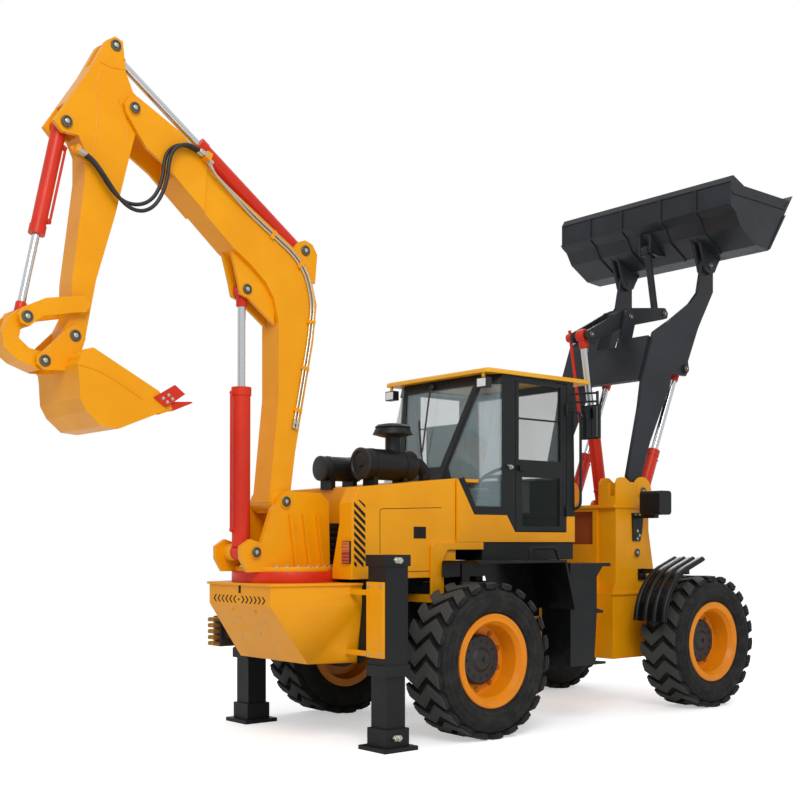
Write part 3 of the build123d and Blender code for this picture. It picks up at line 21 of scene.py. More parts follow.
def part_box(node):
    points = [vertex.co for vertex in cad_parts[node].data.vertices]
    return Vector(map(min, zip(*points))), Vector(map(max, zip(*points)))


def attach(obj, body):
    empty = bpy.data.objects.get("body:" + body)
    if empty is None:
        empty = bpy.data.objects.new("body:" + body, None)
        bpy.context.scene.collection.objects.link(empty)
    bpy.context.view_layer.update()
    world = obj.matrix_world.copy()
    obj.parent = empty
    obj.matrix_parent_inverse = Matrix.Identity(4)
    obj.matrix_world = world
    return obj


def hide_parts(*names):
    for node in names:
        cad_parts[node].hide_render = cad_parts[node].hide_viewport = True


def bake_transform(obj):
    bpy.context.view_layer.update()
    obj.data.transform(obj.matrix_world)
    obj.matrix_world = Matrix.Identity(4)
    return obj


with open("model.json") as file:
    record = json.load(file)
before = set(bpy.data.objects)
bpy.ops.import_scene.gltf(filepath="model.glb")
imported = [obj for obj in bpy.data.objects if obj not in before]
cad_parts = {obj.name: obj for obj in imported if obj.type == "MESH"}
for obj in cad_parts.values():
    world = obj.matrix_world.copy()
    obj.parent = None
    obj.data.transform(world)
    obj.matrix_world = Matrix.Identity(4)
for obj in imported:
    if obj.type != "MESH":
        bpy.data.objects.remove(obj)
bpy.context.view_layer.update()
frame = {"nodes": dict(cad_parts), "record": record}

log = logging.getLogger("backhoe_loader")

Point = Sequence[float]
Tree, Node, Socket = bpy.types.NodeTree, bpy.types.Node, bpy.types.NodeSocket
Piece = bpy.types.Object

MM = 0.001
FAR_MM = 2000.0
NODES = frame["nodes"]
BODY_NODES = frame["record"]["behaviour"]["bodies"]
REAR, FRONT = "rear_machine", "front_machine"
SIDES = ((-1, "right"), (1, "left"))
SQUARE = ((-1, -1), (1, -1), (1, 1), (-1, 1))
# Numbers of the colour sockets of Blender's mix node, which share their names
MIX_A, MIX_B, MIX_OUT = 6, 7, 2


def middle(node: str) -> Vector:
    """Middle of a solid's box at rest, in metres."""
    low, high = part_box(node)
    return (low + high) / 2


REAR_AXLE_X = middle("rim_rear_right").x
FRONT_AXLE = (middle("rim_front_right").x - REAR_AXLE_X) / MM
TYRE_RADIUS = (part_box("tyre_rear_right")[1].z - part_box("tyre_rear_right")[0].z) / MM / 2
WHEEL_Z = middle("rim_rear_right").z / MM


def site(x: float, y: float, z: float) -> Vector:
    """Place in the shared frame, in metres, of a point given on the drawings in millimetres."""
    return Vector((REAR_AXLE_X + x * MM, y * MM, z * MM))


def polar(u: float, v: float, radius: float, angle: float) -> tuple[float, float]:
    """Point at a radius and an angle, in radians, from the middle (u, v)."""
    return u + radius * math.cos(angle), v + radius * math.sin(angle)


def linear(code: str) -> tuple[float, float, float, float]:
    """Turn an sRGB hex colour into Blender's linear colour.

    Args:
        code: colour such as "#E8A018".

    Returns:
        Linear red, green, blue and alpha of 1.
    """
    parts = [int(code[i : i + 2], 16) / 255 for i in (1, 3, 5)]
    red, green, blue = (c / 12.92 if c <= 0.04045 else ((c + 0.055) / 1.055) ** 2.4 for c in parts)
    return (red, green, blue, 1.0)


def add_node(
    tree: Tree, kind: str, settings: Optional[dict] = None, links: Optional[dict] = None
) -> Node:
    """Add one shader node with its settings and links.

    Args:
        tree: node tree that receives the node.
        kind: Blender's name for the type of node.
        settings: values, by property name or by the name or number of an input.
        links: sockets that feed the node, by the name or number of an input.

    Returns:
        The new node.
    """
    node = tree.nodes.new(kind)
    for key, value in (settings or {}).items():
        if isinstance(key, str) and key not in node.inputs:
            setattr(node, key, value)
        else:
            node.inputs[key].default_value = value
    for key, socket in (links or {}).items():
        tree.links.new(socket, node.inputs[key])
    return node


def maths(tree: Tree, operation: str, a: Socket, b: Union[Socket, float]) -> Socket:
    """Combine two values by one operation; the second may be a number."""
    settings, links = {"operation": operation}, {0: a}
    (links if isinstance(b, Socket) else settings)[1] = b
    return add_node(tree, "ShaderNodeMath", settings, links).outputs[0]


class Mixture:
    """A material in the making: its nodes and its one Principled shader."""

    def __init__(self, name: str) -> None:
        """Start with the shader that a new material has, and places fixed to the piece."""
        self.made = bpy.data.materials.new(name)
        self.made.use_nodes = True
        self.tree = self.made.node_tree
        self.shader = self.tree.nodes["Principled BSDF"]
        self.place = add_node(self.tree, "ShaderNodeTexCoord").outputs["Object"]

    def give(self, name: str, value: object) -> None:
        """Feed a socket to an input of the shader, or set the input to a uniform value."""
        if isinstance(value, Socket):
            self.tree.links.new(value, self.shader.inputs[name])
        else:
            self.shader.inputs[name].default_value = value

    def grain(self, size_mm: float, octaves: float) -> Socket:
        """Noise from 0 to 1 whose lumps are about size_mm across, with finer octaves."""
        settings = {"Scale": 1 / (size_mm * MM), "Detail": octaves, "Roughness": 0.6}
        noise = add_node(self.tree, "ShaderNodeTexNoise", settings, {"Vector": self.place})
        return noise.outputs["Fac"]

    def spread(
        self, value: Socket, low: float, high: float, to_low: float = 0.0, to_high: float = 1.0
    ) -> Socket:
        """Stretch a value from one range to another and clamp it there."""
        ends = {"From Min": low, "From Max": high, "To Min": to_low, "To Max": to_high}
        node = add_node(self.tree, "ShaderNodeMapRange", ends, {"Value": value})
        return node.outputs["Result"]

    def blend(self, fac: Socket, a: object, b: object) -> Socket:
        """Mix two colours, each a hex code or a socket."""
        node = add_node(self.tree, "ShaderNodeMix", {"data_type": "RGBA"}, {0: fac})
        for number, given in ((MIX_A, a), (MIX_B, b)):
            if isinstance(given, str):
                node.inputs[number].default_value = linear(given)
            else:
                self.tree.links.new(given, node.inputs[number])
        return node.outputs[MIX_OUT]

    def cloud(
        self, colour: str, other: str, size_mm: float, octaves: float,
        low: float, high: float, most: float,
    ) -> Socket:
        """Mix clouds of another colour, of a size and with octaves, into the base colour.

        Args:
            colour: hex code of the ground.
            other: hex code of the clouds.
            size_mm: real size of one cloud.
            octaves: octaves of finer noise.
            low: noise value where the clouds begin.
            high: noise value where they are full.
            most: their share where they are full.

        Returns:
            Socket of the colour, which also feeds the shader.
        """
        share = self.spread(self.grain(size_mm, octaves), low, high, 0.0, most)
        mixed = self.blend(share, colour, other)
        self.give("Base Color", mixed)
        return mixed

    def relief(self, height: Socket, depth_mm: float, strength: float) -> None:
        """Bump the shader's normal by a height of depth_mm."""
        settings = {"Strength": strength, "Distance": depth_mm * MM}
        bump = add_node(self.tree, "ShaderNodeBump", settings, {"Height": height})
        self.give("Normal", bump.outputs["Normal"])


@dataclass(frozen=True)
class Finish:
    """Common ground of all finishes: a name, a colour and a roughness."""

    name: str
    colour: str
    roughness: float

    def make(self) -> bpy.types.Material:
        """Build the material under its own name and give it its surface."""
        mix = Mixture(self.name)
        mix.give("Base Color", linear(self.colour))
        mix.give("Roughness", self.roughness)
        self.surface(mix)
        return mix.made

    def surface(self, mix: Mixture) -> None:
        """Add what is particular to the finish; a plain one adds nothing."""


@dataclass(frozen=True)
class SprayedEnamel(Finish):
    """Alkyd enamel sprayed on steel plate: even colour, soft gloss, faint orange peel."""

    shade: str
    soil: str = "#8A7B62"
    soil_share: float = 0.25
    mirroring: float = 0.28
    pass_mm: float = 450.0
    cloud_mm: float = 150.0
    peel_mm: float = 9.0

    def surface(self, mix: Mixture) -> None:
        """Add patches of shade, a film of soil low down and orange peel."""
        # Sprayed coats differ a little from pass to pass, over about half a metre
        patches = mix.spread(mix.grain(self.pass_mm, 2), 0.35, 0.65)
        body = mix.blend(patches, self.colour, self.shade)
        # Soil settles in clouds, more of it near the ground, and dulls the gloss
        clouds = mix.spread(mix.grain(self.cloud_mm, 6), 0.5, 0.8)
        height = add_node(mix.tree, "ShaderNodeSeparateXYZ", {}, {"Vector": mix.place})
        low_down = mix.spread(height.outputs["Z"], 0.3, 1.6, self.soil_share, 0.04)
        film = maths(mix.tree, "MULTIPLY", clouds, low_down)
        mix.give("Base Color", mix.blend(film, body, self.soil))
        dull = min(1.0, self.roughness + 0.18)
        mix.give("Roughness", mix.spread(clouds, 0, 1, self.roughness, dull))
        # Real orange peel is 1 to 2 mm across; it is drawn at 9 mm so that it shows
        mix.relief(mix.grain(self.peel_mm, 1), 0.12, 0.25)
        mix.give("Specular IOR Level", self.mirroring)


@dataclass(frozen=True)
class TyreRubber(Finish):
    """Vulcanised black rubber, moulded, dull, its tread scuffed to a paler grey."""

    soil: str = "#4A463F"
    scuffed: str = "#444543"
    lug_mm: float = 10.0
    cloud_mm: float = 110.0
    skin_mm: float = 7.0

    def tread(self, mix: Mixture) -> Socket:
        """Share of scuffing: none on the sidewall, full on the tops of the lugs."""
        reaches = []
        for x in (0.0, FRONT_AXLE):
            reach = mix.place
            for operation, value in (("SUBTRACT", site(x, 0, WHEEL_Z)), ("MULTIPLY", (1, 0, 1))):
                settings = {"operation": operation, 1: value}
                reach = add_node(mix.tree, "ShaderNodeVectorMath", settings, {0: reach}).outputs[0]
            far = add_node(mix.tree, "ShaderNodeVectorMath", {"operation": "LENGTH"}, {0: reach})
            reaches.append(far.outputs["Value"])
        near = maths(mix.tree, "MINIMUM", *reaches)
        return mix.spread(near, (TYRE_RADIUS - self.lug_mm) * MM, (TYRE_RADIUS - 2) * MM)

    def surface(self, mix: Mixture) -> None:
        """Add soil in clouds, pale lug tops and the moulded grain."""
        body = mix.cloud(self.colour, self.soil, self.cloud_mm, 7, 0.42, 0.75, 0.4)
        mix.give("Base Color", mix.blend(self.tread(mix), body, self.scuffed))
        mix.give("Specular IOR Level", 0.3)
        # The mould leaves a grain of about 1 mm; drawn at 7 mm so that it shows
        mix.relief(mix.grain(self.skin_mm, 4), 0.5, 0.4)


@dataclass(frozen=True)
class HardMetal(Finish):
    """Bare or plated metal: chromed and ground rods, zinc plated bolts and pipes."""

    patch_mm: float = 24.0
    dulling: float = 0.06

    def surface(self, mix: Mixture) -> None:
        """Make it full metal whose gloss changes a little from place to place."""
        mix.give("Metallic", 1.0)
        duller = self.roughness + self.dulling
        patches = mix.grain(self.patch_mm, 3)
        mix.give("Roughness", mix.spread(patches, 0.3, 0.7, self.roughness, duller))


@dataclass(frozen=True)
class CastMetal(Finish):
    """Painted cast iron, moulded black plastic or painted shade in holes, with a coarse skin."""

    skin_mm: float = 6.0
    mottled: str = "#35332F"

    def surface(self, mix: Mixture) -> None:
        """Add a mottled colour and the mould's skin, drawn coarser than its 1 to 2 mm."""
        mix.cloud(self.colour, self.mottled, 60, 5, 0.4, 0.8, 0.3)
        mix.relief(mix.grain(self.skin_mm, 3), 0.4, 0.35)


@dataclass(frozen=True)
class TintedGlass(Finish):
    """Green-grey toughened safety glass, float glass with a body tint."""

    clearness: float
    # Colour of the clouds: wiped film; on the sky panes a paler colour, a painted reflection of the
    # sky
    film: str = "#4B5A54"

    def surface(self, mix: Mixture) -> None:
        """Make a clear pane whose tint and film vary a little; on sky panes they paint the sky's
        reflection.
        """
        mix.give("Alpha", 1 - self.clearness)
        mix.give("Coat Weight", 1.0)
        mix.give("Coat Roughness", 0.02)
        mix.cloud(self.colour, self.film, 220, 3, 0.35, 0.75, 0.4)


@dataclass(frozen=True)
class PressedVinyl(Finish):
    """PVC leathercloth, calendered with a leather grain, or black hose cover."""

    grain_mm: float = 5.0
    worn: str = "#4A4A48"

    def surface(self, mix: Mixture) -> None:
        """Add pebbles, drawn coarser than the real 1 to 2 mm, and a little colour change."""
        scale = {"Scale": 1 / (self.grain_mm * MM)}
        cells = add_node(mix.tree, "ShaderNodeTexVoronoi", scale, {"Vector": mix.place})
        mix.cloud(self.colour, self.worn, 90, 3, 0.3, 0.7, 0.25)
        mix.relief(cells.outputs["Distance"], 0.3, 0.35)


@dataclass(frozen=True)
class LampLens(Finish):
    """Moulded acrylic lens, clear, amber or red, with pressed flutes."""

    flute_mm: float = 12.0

    def surface(self, mix: Mixture) -> None:
        """Add flutes across a glossy lens, with a painted highlight along them."""
        settings = {"Scale": 1 / (self.flute_mm * MM * math.tau), "bands_direction": "Z"}
        flutes = add_node(mix.tree, "ShaderNodeTexWave", settings, {"Vector": mix.place})
        # Painted highlight: the colour runs up to a tenth of the way to white on the flutes
        flute_highlight = mix.spread(flutes.outputs["Fac"], 0, 1, 0.0, 0.1)
        mix.give("Base Color", mix.blend(flute_highlight, self.colour, "#FFFFFF"))
        mix.give("Coat Weight", 0.3)
        mix.relief(flutes.outputs["Fac"], 1.0, 0.3)


class Coat(Enum):
    """Every finish of the machine, with what its process gives the eye."""

    # Sprayed plate: an even coat with a soft gloss, browner where soil settles
    YELLOW = SprayedEnamel(
        "alkyd_enamel_sprayed_yellow", "#F2A208", 0.34,
        shade="#EC9A04", soil="#A87414", soil_share=0.1,
    )
    # The same enamel bleached by the sun: paler
    ROOF = SprayedEnamel(
        "alkyd_enamel_sprayed_roof", "#F4B434", 0.35, shade="#F0AC28", soil_share=0.05
    )
    # Cylinders, sprayed before they are fitted: a clean signal red
    RED = SprayedEnamel(
        "alkyd_enamel_sprayed_red", "#D8341C", 0.34, shade="#C92C18", soil_share=0.08
    )
    # Loader gear: graphite with wide soft highlights
    GREY = SprayedEnamel(
        "alkyd_enamel_sprayed_graphite", "#232529", 0.36,
        shade="#2A2C31", soil="#4E4C48", soil_share=0.1,
    )
    # Frames and legs: duller than the graphite, and dust shows on it
    BLACK = SprayedEnamel(
        "alkyd_enamel_sprayed_black", "#141516", 0.42,
        shade="#191A1B", soil="#3E3B36", soil_share=0.12,
    )
    # Gloss coat over smooth pressed sheet: sharp reflections
    FENDER = SprayedEnamel(
        "enamel_gloss_black", "#0E0F10", 0.2, shade="#121314", soil="#35332F", soil_share=0.08
    )
    # Rims: a redder yellow than the plate, with road soil in the well
    RIM = SprayedEnamel(
        "alkyd_enamel_sprayed_orange", "#EF8F0C", 0.36,
        shade="#E88608", soil="#8F6426", soil_share=0.2,
    )
    # Nuts: the rims' orange, darker and flatter, as painted shade
    RIM_SHADE = SprayedEnamel(
        "alkyd_enamel_sprayed_orange_painted_shade", "#C4700A", 0.42, shade="#B26408", soil_share=0.3
    )
    # Matt red-brown: painted shade for a plate deep in the tower's shadowed recess
    PAINTED_SHADE_WALL = SprayedEnamel(
        "enamel_red_brown_painted_shade", "#A8500F", 0.6, shade="#9C480C", soil_share=0.2
    )
    # Black that gives no light back: painted shade in vents, slots and cut-outs, and dark door gaps
    HOLE = CastMetal("black_painted_shade_in_holes", "#070605", 0.9, skin_mm=12.0)
    # Ground hard chrome: a bright mirror
    CHROME = HardMetal("steel_hard_chromed", "#D6D9DC", 0.10)
    # Zinc plate: warm grey with blurred reflections
    ZINC = HardMetal("steel_zinc_plated", "#C9C6B6", 0.34)
    # Phosphate and oil: dark, dull metal
    PIN = HardMetal("steel_phosphated_pin", "#6E6B60", 0.5)
    # Turned brass: yellow metal with a soft shine
    BRASS = HardMetal("brass_turned", "#B98A3E", 0.34)
    # Silver behind glass: a clear reflection
    MIRROR = HardMetal("glass_silvered_mirror", "#C9D0D2", 0.05)
    # Moulded rubber: dull black, paler where the lugs scuff
    TYRE = TyreRubber("rubber_vulcanised", "#191A1A", 0.82)
    # Float glass of the doors: nearly clear with a green cast
    GLASS = TintedGlass("float_glass_tinted", "#5F716B", 0.04, clearness=0.95)
    # Panes with the sky's reflection painted into their colour: paler and less clear
    SKY_PAINTED_GLASS = TintedGlass(
        "float_glass_tinted_painted_sky", "#8EA3A8", 0.05, clearness=0.66, film="#A3B5B8"
    )
    # Embossed leathercloth: pebbled black with a weak sheen
    VINYL = PressedVinyl("pvc_leathercloth_embossed", "#1B1B1C", 0.55)
    # Rubber cured in a cloth wrap: black with a coarse print
    HOSE = PressedVinyl("rubber_hose_wrapped", "#0D0D0D", 0.5, grain_mm=8.0)
    # Moulded polypropylene: satin black
    PLASTIC = CastMetal("polypropylene_moulded", "#131414", 0.5)
    # Painted casting: the sand's coarse skin under the coat
    CAST = CastMetal("cast_iron_painted", "#1E1F20", 0.5)
    # Moulded acrylic: glossy, lit through, with pressed flutes and a painted highlight on them
    WHITE_LENS = LampLens("acrylic_moulded_clear", "#DCE2E4", 0.12)
    RED_LENS = LampLens("acrylic_moulded_red", "#A3100C", 0.15)
    AMBER_LENS = LampLens("acrylic_moulded_amber", "#C4560C", 0.15)


class Paintshop:
    """Makes each finish once and hands it out."""

    def __init__(self) -> None:
        """Start with no material made."""
        self.made: dict[Coat, bpy.types.Material] = {}

    def get(self, coat: Coat) -> bpy.types.Material:
        """The material of a coat, made on first use."""
        if coat not in self.made:
            self.made[coat] = coat.value.make()
        return self.made[coat]

    def paint(self, nodes: Iterable[str], coat: Coat) -> None:
        """Give carried-over solids a coat in all their material slots."""
        for name in nodes:
            piece = NODES[name]
            if not piece.material_slots:
                piece.data.materials.append(self.get(coat))
            for one in piece.material_slots:
                one.material = self.get(coat)


SHOP = Paintshop()


def link_piece(name: str, data: bpy.types.ID) -> Piece:
    """Object of a mesh, curve, lamp or camera, linked to the scene."""
    piece = bpy.data.objects.new(name, data)
    bpy.context.scene.collection.objects.link(piece)
    return piece


def mesh_piece(name: str, form: bmesh.types.BMesh, coat: Coat) -> Piece:
    """Object of a mesh in the making, with its coat, linked to the scene."""
    mesh = bpy.data.meshes.new(name)
    form.to_mesh(mesh)
    form.free()
    mesh.materials.append(SHOP.get(coat))
    return link_piece(name, mesh)


def round_off(piece: Piece, width_mm: float) -> None:
    """Round the sharp edges of a piece by a bevel in two steps."""
    edge = piece.modifiers.new("rounded_edges", "BEVEL")
    edge.width = width_mm * MM
    edge.segments = 2
    edge.limit_method = "ANGLE"
    edge.angle_limit = math.radians(40)
    edge.harden_normals = True


def circle(centre: Vector, up: Vector, across: Vector, radius: float, sides: int) -> list[Vector]:
    """Corners of a round section in the plane of two directions, in metres."""
    turns = (math.tau * k / sides for k in range(sides))
    return [centre + radius * (math.cos(a) * up + math.sin(a) * across) for a in turns]


def lay_tube(
    form: bmesh.types.BMesh, places: Sequence[Vector], radius: float, sides: int
) -> None:
    """Add a round tube along points, closed at both ends.

    Args:
        form: mesh in the making that receives it.
        places: points of the centreline, in metres.
        radius: radius of the tube, in metres.
        sides: corners of its section.
    """
    rings = []
    ahead = (places[1] - places[0]).normalized()
    up = ahead.orthogonal().normalized()
    for i, place in enumerate(places):
        turned = (places[min(i + 1, len(places) - 1)] - places[max(i - 1, 0)]).normalized()
        up = (ahead.rotation_difference(turned) @ up).normalized()
        up = (up - turned * up.dot(turned)).normalized()
        ahead = turned
        corners = circle(place, up, ahead.cross(up), radius, sides)
        rings.append([form.verts.new(corner) for corner in corners])
    for low, high in zip(rings, rings[1:]):
        for k in range(sides):
            form.faces.new((low[k - 1], low[k], high[k], high[k - 1])).smooth = True
    form.faces.new(rings[0][::-1])
    form.faces.new(rings[-1])


class Form:
    """One piece in the making: solids added in drawing millimetres, then dressed and placed."""

    def __init__(self) -> None:
        """Start with nothing."""
        self.solid = bmesh.new()

    def pull(self, outline: Sequence[Point], shift: Point) -> "Form":
        """Add a prism: an outline of drawing points pulled along a shift."""
        low = [self.solid.verts.new(site(*p)) for p in outline]
        move = Vector(shift) * MM
        high = [self.solid.verts.new(v.co + move) for v in low]
        self.solid.faces.new(low[::-1])
        self.solid.faces.new(high)
        for k in range(len(low)):
            self.solid.faces.new((low[k - 1], low[k], high[k], high[k - 1]))
        return self

    def block(self, x: Point, y: Point, z: Point) -> "Form":
        """Add a box between pairs of limits."""
        corners = [(x[(u + 1) // 2], y[(v + 1) // 2], z[0]) for u, v in SQUARE]
        return self.pull(corners, (0, 0, z[1] - z[0]))

    def twin_block(self, x: Point, y: Point, z: Point) -> "Form":
        """Add the same box on both sides of the machine."""
        return self.block(x, y, z).block(x, (-y[1], -y[0]), z)

    def side_plate(self, outline: Sequence[Point], y_low: float, y_high: float) -> "Form":
        """Add a side outline of (x, z) between two Y values."""
        return self.pull([(x, y_low, z) for x, z in outline], (0, y_high - y_low, 0))

    def twin_plate(self, outline: Sequence[Point], inner: float, outer: float) -> "Form":
        """Add a side outline of (x, z) on both sides of the machine."""
        return self.side_plate(outline, -outer, -inner).side_plate(outline, inner, outer)

    def turned(
        self, base: Point, axis: Point, profile: Sequence[Point], sides: int = 24,
        ring: bool = False,
    ) -> "Form":
        """Add a turned solid.

        Args:
            base: drawing point on its axis.
            axis: direction of the axis.
            profile: pairs of radius and height along the axis, both in millimetres.
            sides: corners of the round section; 6 makes a hexagon.
            ring: whether the profile closes on itself round an open middle.

        Returns:
            The form itself.
        """
        along = Vector(axis).normalized()
        up = along.orthogonal().normalized()
        across = along.cross(up)
        rings = []
        for radius, height in profile:
            centre = site(*base) + along * height * MM
            spots = circle(centre, up, across, radius * MM, sides) if radius else [centre]
            rings.append([self.solid.verts.new(spot) for spot in spots])
        for low, high in zip(rings, [*rings[1:], rings[0]] if ring else rings[1:]):
            for k in range(sides):
                face = [low[k - 1], low[k]] if len(low) > 1 else [low[0]]
                face += [high[k], high[k - 1]] if len(high) > 1 else [high[0]]
                self.solid.faces.new(face)
        for rim in (rings[0][::-1], rings[-1]):
            if len(rim) > 1 and not ring:
                self.solid.faces.new(rim)
        return self

    def bolt(
        self, base: Point, axis: Point, across: float = 24, washer: float = 1.5
    ) -> "Form":
        """Add a hexagon bolt head on its washer, its foot at the base."""
        disc, corner, high = across * washer / 2, across / math.sqrt(3), across * 0.32
        self.turned(base, axis, [(disc, -1), (disc, across * 0.12)], 20)
        head = [(corner, across * 0.1), (corner, high), (corner * 0.82, high * 1.15)]
        return self.turned(base, axis, head, 6)

    def tube(
        self, route: Sequence[Point], radius: float, bend: float = 0.0, sides: int = 10
    ) -> "Form":
        """Add a rigid pipe along drawing points, its corners bent round.

        Args:
            route: corner points in drawing millimetres.
            radius: outside radius in millimetres.
            bend: length cut from each corner for its bend, in millimetres.
            sides: corners of the pipe's section.

        Returns:
            The form itself.
        """
        corners = [Vector(p) for p in route]
        places = [corners[0]]
        for before, corner, after in zip(corners, corners[1:], corners[2:]):
            near, far = (
                corner + leg.normalized() * min(bend, leg.length / 2.1)
                for leg in (before - corner, after - corner)
            )
            for t in (step / 5 for step in range(6)):
                places.append((1 - t) ** 2 * near + 2 * t * (1 - t) * corner + t * t * far)
        places.append(corners[-1])
        lay_tube(self.solid, [site(*p) for p in places], radius * MM, sides)
        return self

    def twin_tube(
        self, route: Sequence[Point], y: float, radius: float, bend: float, sides: int
    ) -> "Form":
        """Add a pipe along an (x, z) route on both sides of the machine."""
        for s in (-1, 1):
            self.tube([(x, s * y, z) for x, z in route], radius, bend, sides)
        return self

    def twin_bolts(self, places: Sequence[Point], y: float, across: float) -> "Form":
        """Add bolts at (x, z) places on both sides of the machine."""
        for s in (-1, 1):
            for x, z in places:
                self.bolt((x, s * y, z), (0, s, 0), across)
        return self

    def bolt_ring(
        self, node: str, centre: Point, s: int, radius: float, turns: Sequence[float],
        across: float,
    ) -> "Form":
        """Add bolts round a wheel's axis, on the skin of one solid.

        Args:
            node: solid that carries them.
            centre: (x, z) of the axis.
            s: sign of the side's Y.
            radius: radius of the bolt circle.
            turns: place of each bolt, in turns.
            across: width of a bolt over its flats.

        Returns:
            The form itself.
        """
        for turn in turns:
            x, z = polar(*centre, radius, math.tau * turn)
            y = flank(node, x, z, s)
            if y is not None:
                self.bolt((x, y, z), (0, s, 0), across)
        return self

    def finish(self, name: str, coat: Coat, body: str, bevel: float = 0.0) -> Piece:
        """Turn the form into a dressed piece that rides on its body.

        Args:
            name: name of the piece.
            coat: its finish.
            body: body of the frame that carries it.
            bevel: width of the rounding of its edges, in millimetres.

        Returns:
            The new object.
        """
        bmesh.ops.recalc_face_normals(self.solid, faces=self.solid.faces)
        for face in self.solid.faces:
            face.smooth = True
        for edge in self.solid.edges:
            if len(edge.link_faces) == 2:
                edge.smooth = edge.calc_face_angle() < math.radians(32)
        piece = mesh_piece(name, self.solid, coat)
        if bevel:
            round_off(piece, bevel)
        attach(piece, body)
        log.info("%s on %s, %s", name, body, coat.value.name)
        return piece


TREES: dict[str, BVHTree] = {}


def meets(node: str, origin: Vector, direction: Vector) -> Optional[Vector]:
    """First point, in metres, of one solid that a line meets, or None."""
    if node not in TREES:
        mesh = NODES[node].data
        TREES[node] = BVHTree.FromPolygons(
            [v.co for v in mesh.vertices], [p.vertices for p in mesh.polygons]
        )
    return TREES[node].ray_cast(origin, direction)[0]


def flank(node: str, x: float, z: float, s: int) -> Optional[float]:
    """Y, in drawing millimetres, where a line from side s meets one solid, or None."""
    place = meets(node, site(x, s * FAR_MM, z), Vector((0, -s, 0)))
    return None if place is None else place.y / MM


def skin(body: str, start: Point, aim: Point) -> Optional[Vector]:
    """First point of a body's solids that a straight line meets.

    Args:
        body: body of the frame whose solids are tried.
        start: drawing point where the line starts, outside the machine.
        aim: direction of the line.

    Returns:
        The drawing point that it meets, or None where it meets nothing.
    """
    origin = site(*start)
    tries = (meets(name, origin, Vector(aim).normalized()) for name in BODY_NODES[body])
    found = min(
        (place for place in tries if place is not None),
        key=lambda place: (place - origin).length, default=None,
    )
    if found is None:
        return None
    return Vector(((found.x - REAR_AXLE_X) / MM, found.y / MM, found.z / MM))


@dataclass
class HydraulicHose:
    """One rubber hose from the boom's fitting block over the dipper's foot to its bracket.

    The route's points are those of the solid in the part's source, from the rear axle.
    """

    node: str
    length_mm: float
    route: tuple
    bore_mm: float = 26.0
    sides: int = 16
    ferrule_mm: float = 46.0

    def spline(self) -> Piece:
        """Curve of one open NURBS spline with the route as its control points."""
        curve = bpy.data.curves.new(self.node + "_line", "CURVE")
        curve.dimensions = "3D"
        curve.resolution_u = 10
        line = curve.splines.new("NURBS")
        line.points.add(len(self.route) - 1)
        for knot, place in zip(line.points, self.route):
            knot.co = (*site(*place), 1.0)
        line.order_u = 3
        line.use_endpoint_u = True
        return link_piece(self.node + "_line", curve)

    def followed(self) -> list[Vector]:
        """Points along the smooth line, read from its spline; the line is then removed."""
        holder = self.spline()
        bpy.context.view_layer.update()
        mesh = bpy.data.meshes.new_from_object(holder)
        places = [v.co.copy() for v in mesh.vertices]
        bpy.data.meshes.remove(mesh)
        bpy.data.objects.remove(holder)
        return places

    def build(self) -> Piece:
        """Tube round the line from boom to dipper, crimped at both ends.

        Returns:
            The hose's mesh object.
        """
        places = self.followed()
        form = bmesh.new()
        lay_tube(form, places, self.bore_mm * MM / 2, self.sides)
        bmesh.ops.recalc_face_normals(form, faces=form.faces)
        piece = mesh_piece(self.node + "_tube", form, Coat.HOSE)
        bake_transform(piece)
        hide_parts(self.node)
        self.crimp("boom", self.route[0], self.route[1], "boom_arm")
        self.crimp("dipper", self.route[-1], self.route[-2], "dipper")
        log.info("hose %s, %d points", self.node, len(places))
        return piece

    def crimp(self, end: str, foot: Point, ahead: Point, body: str) -> None:
        """Zinc plated ferrule and swivel nut on one end of the hose.

        Args:
            end: word for the end, part of the piece's name.
            foot: drawing point where the hose leaves its fitting.
            ahead: next point of the route, which gives the direction.
            body: body that carries the fitting.
        """
        outside, aim = self.bore_mm / 2 + 3, Vector(ahead) - Vector(foot)
        sleeve = [
            (outside, 2), (outside, self.ferrule_mm), (outside - 2.5, self.ferrule_mm + 5)
        ]
        nut = [(outside + 6, -24), (outside + 6, 4)]
        form = Form().turned(foot, aim, sleeve, 18).turned(foot, aim, nut, 6)
        form.finish(f"{self.node}_ferrule_{end}", Coat.ZINC, body)


HOSES = (
    HydraulicHose("hose_upper", 1316.0, (
        (-1925, -150, 4140), (-2028, -150, 4182.4), (-2113, -152, 4175), (-2185, -156, 4130),
        (-2230, -160, 4058), (-2242, -165, 3930), (-2285, -162, 3808), (-2352, -158, 3733),
        (-2440, -152, 3700), (-2532, -143, 3712), (-2612, -136, 3778), (-2688, -128, 3889),
        (-2755, -124, 3955), (-2835, -124, 3985),
    )),
    HydraulicHose("hose_lower", 1375.0, (
        (-1925, -184, 4140), (-2028, -184, 4182.4), (-2112, -186, 4168), (-2178, -188, 4118),
        (-2212, -190, 4035), (-2222, -190, 3915), (-2262, -187, 3795), (-2325, -184, 3700),
        (-2412, -178, 3655), (-2505, -176, 3668), (-2585, -172, 3735), (-2680, -165, 3862),
        (-2755, -154, 3955), (-2835, -154, 3985),
    )),
)


class Ram(NamedTuple):
    """Pivots of one hydraulic cylinder, each in (x, z)."""

    foot: Point
    eye: Point


BOOM_RAM = Ram((-1522, 1386), (-1516, 3281))
STICK_RAM = Ram((-1015, 3634), (-2556, 4750))
SCOOP_RAM = Ram((-2904, 4166), (-3185, 2870))
LIFT_RAM = Ram((2300, 1365), (3040, 3085))
TILT_RAM = Ram((2460, 1800), (2185, 3368))


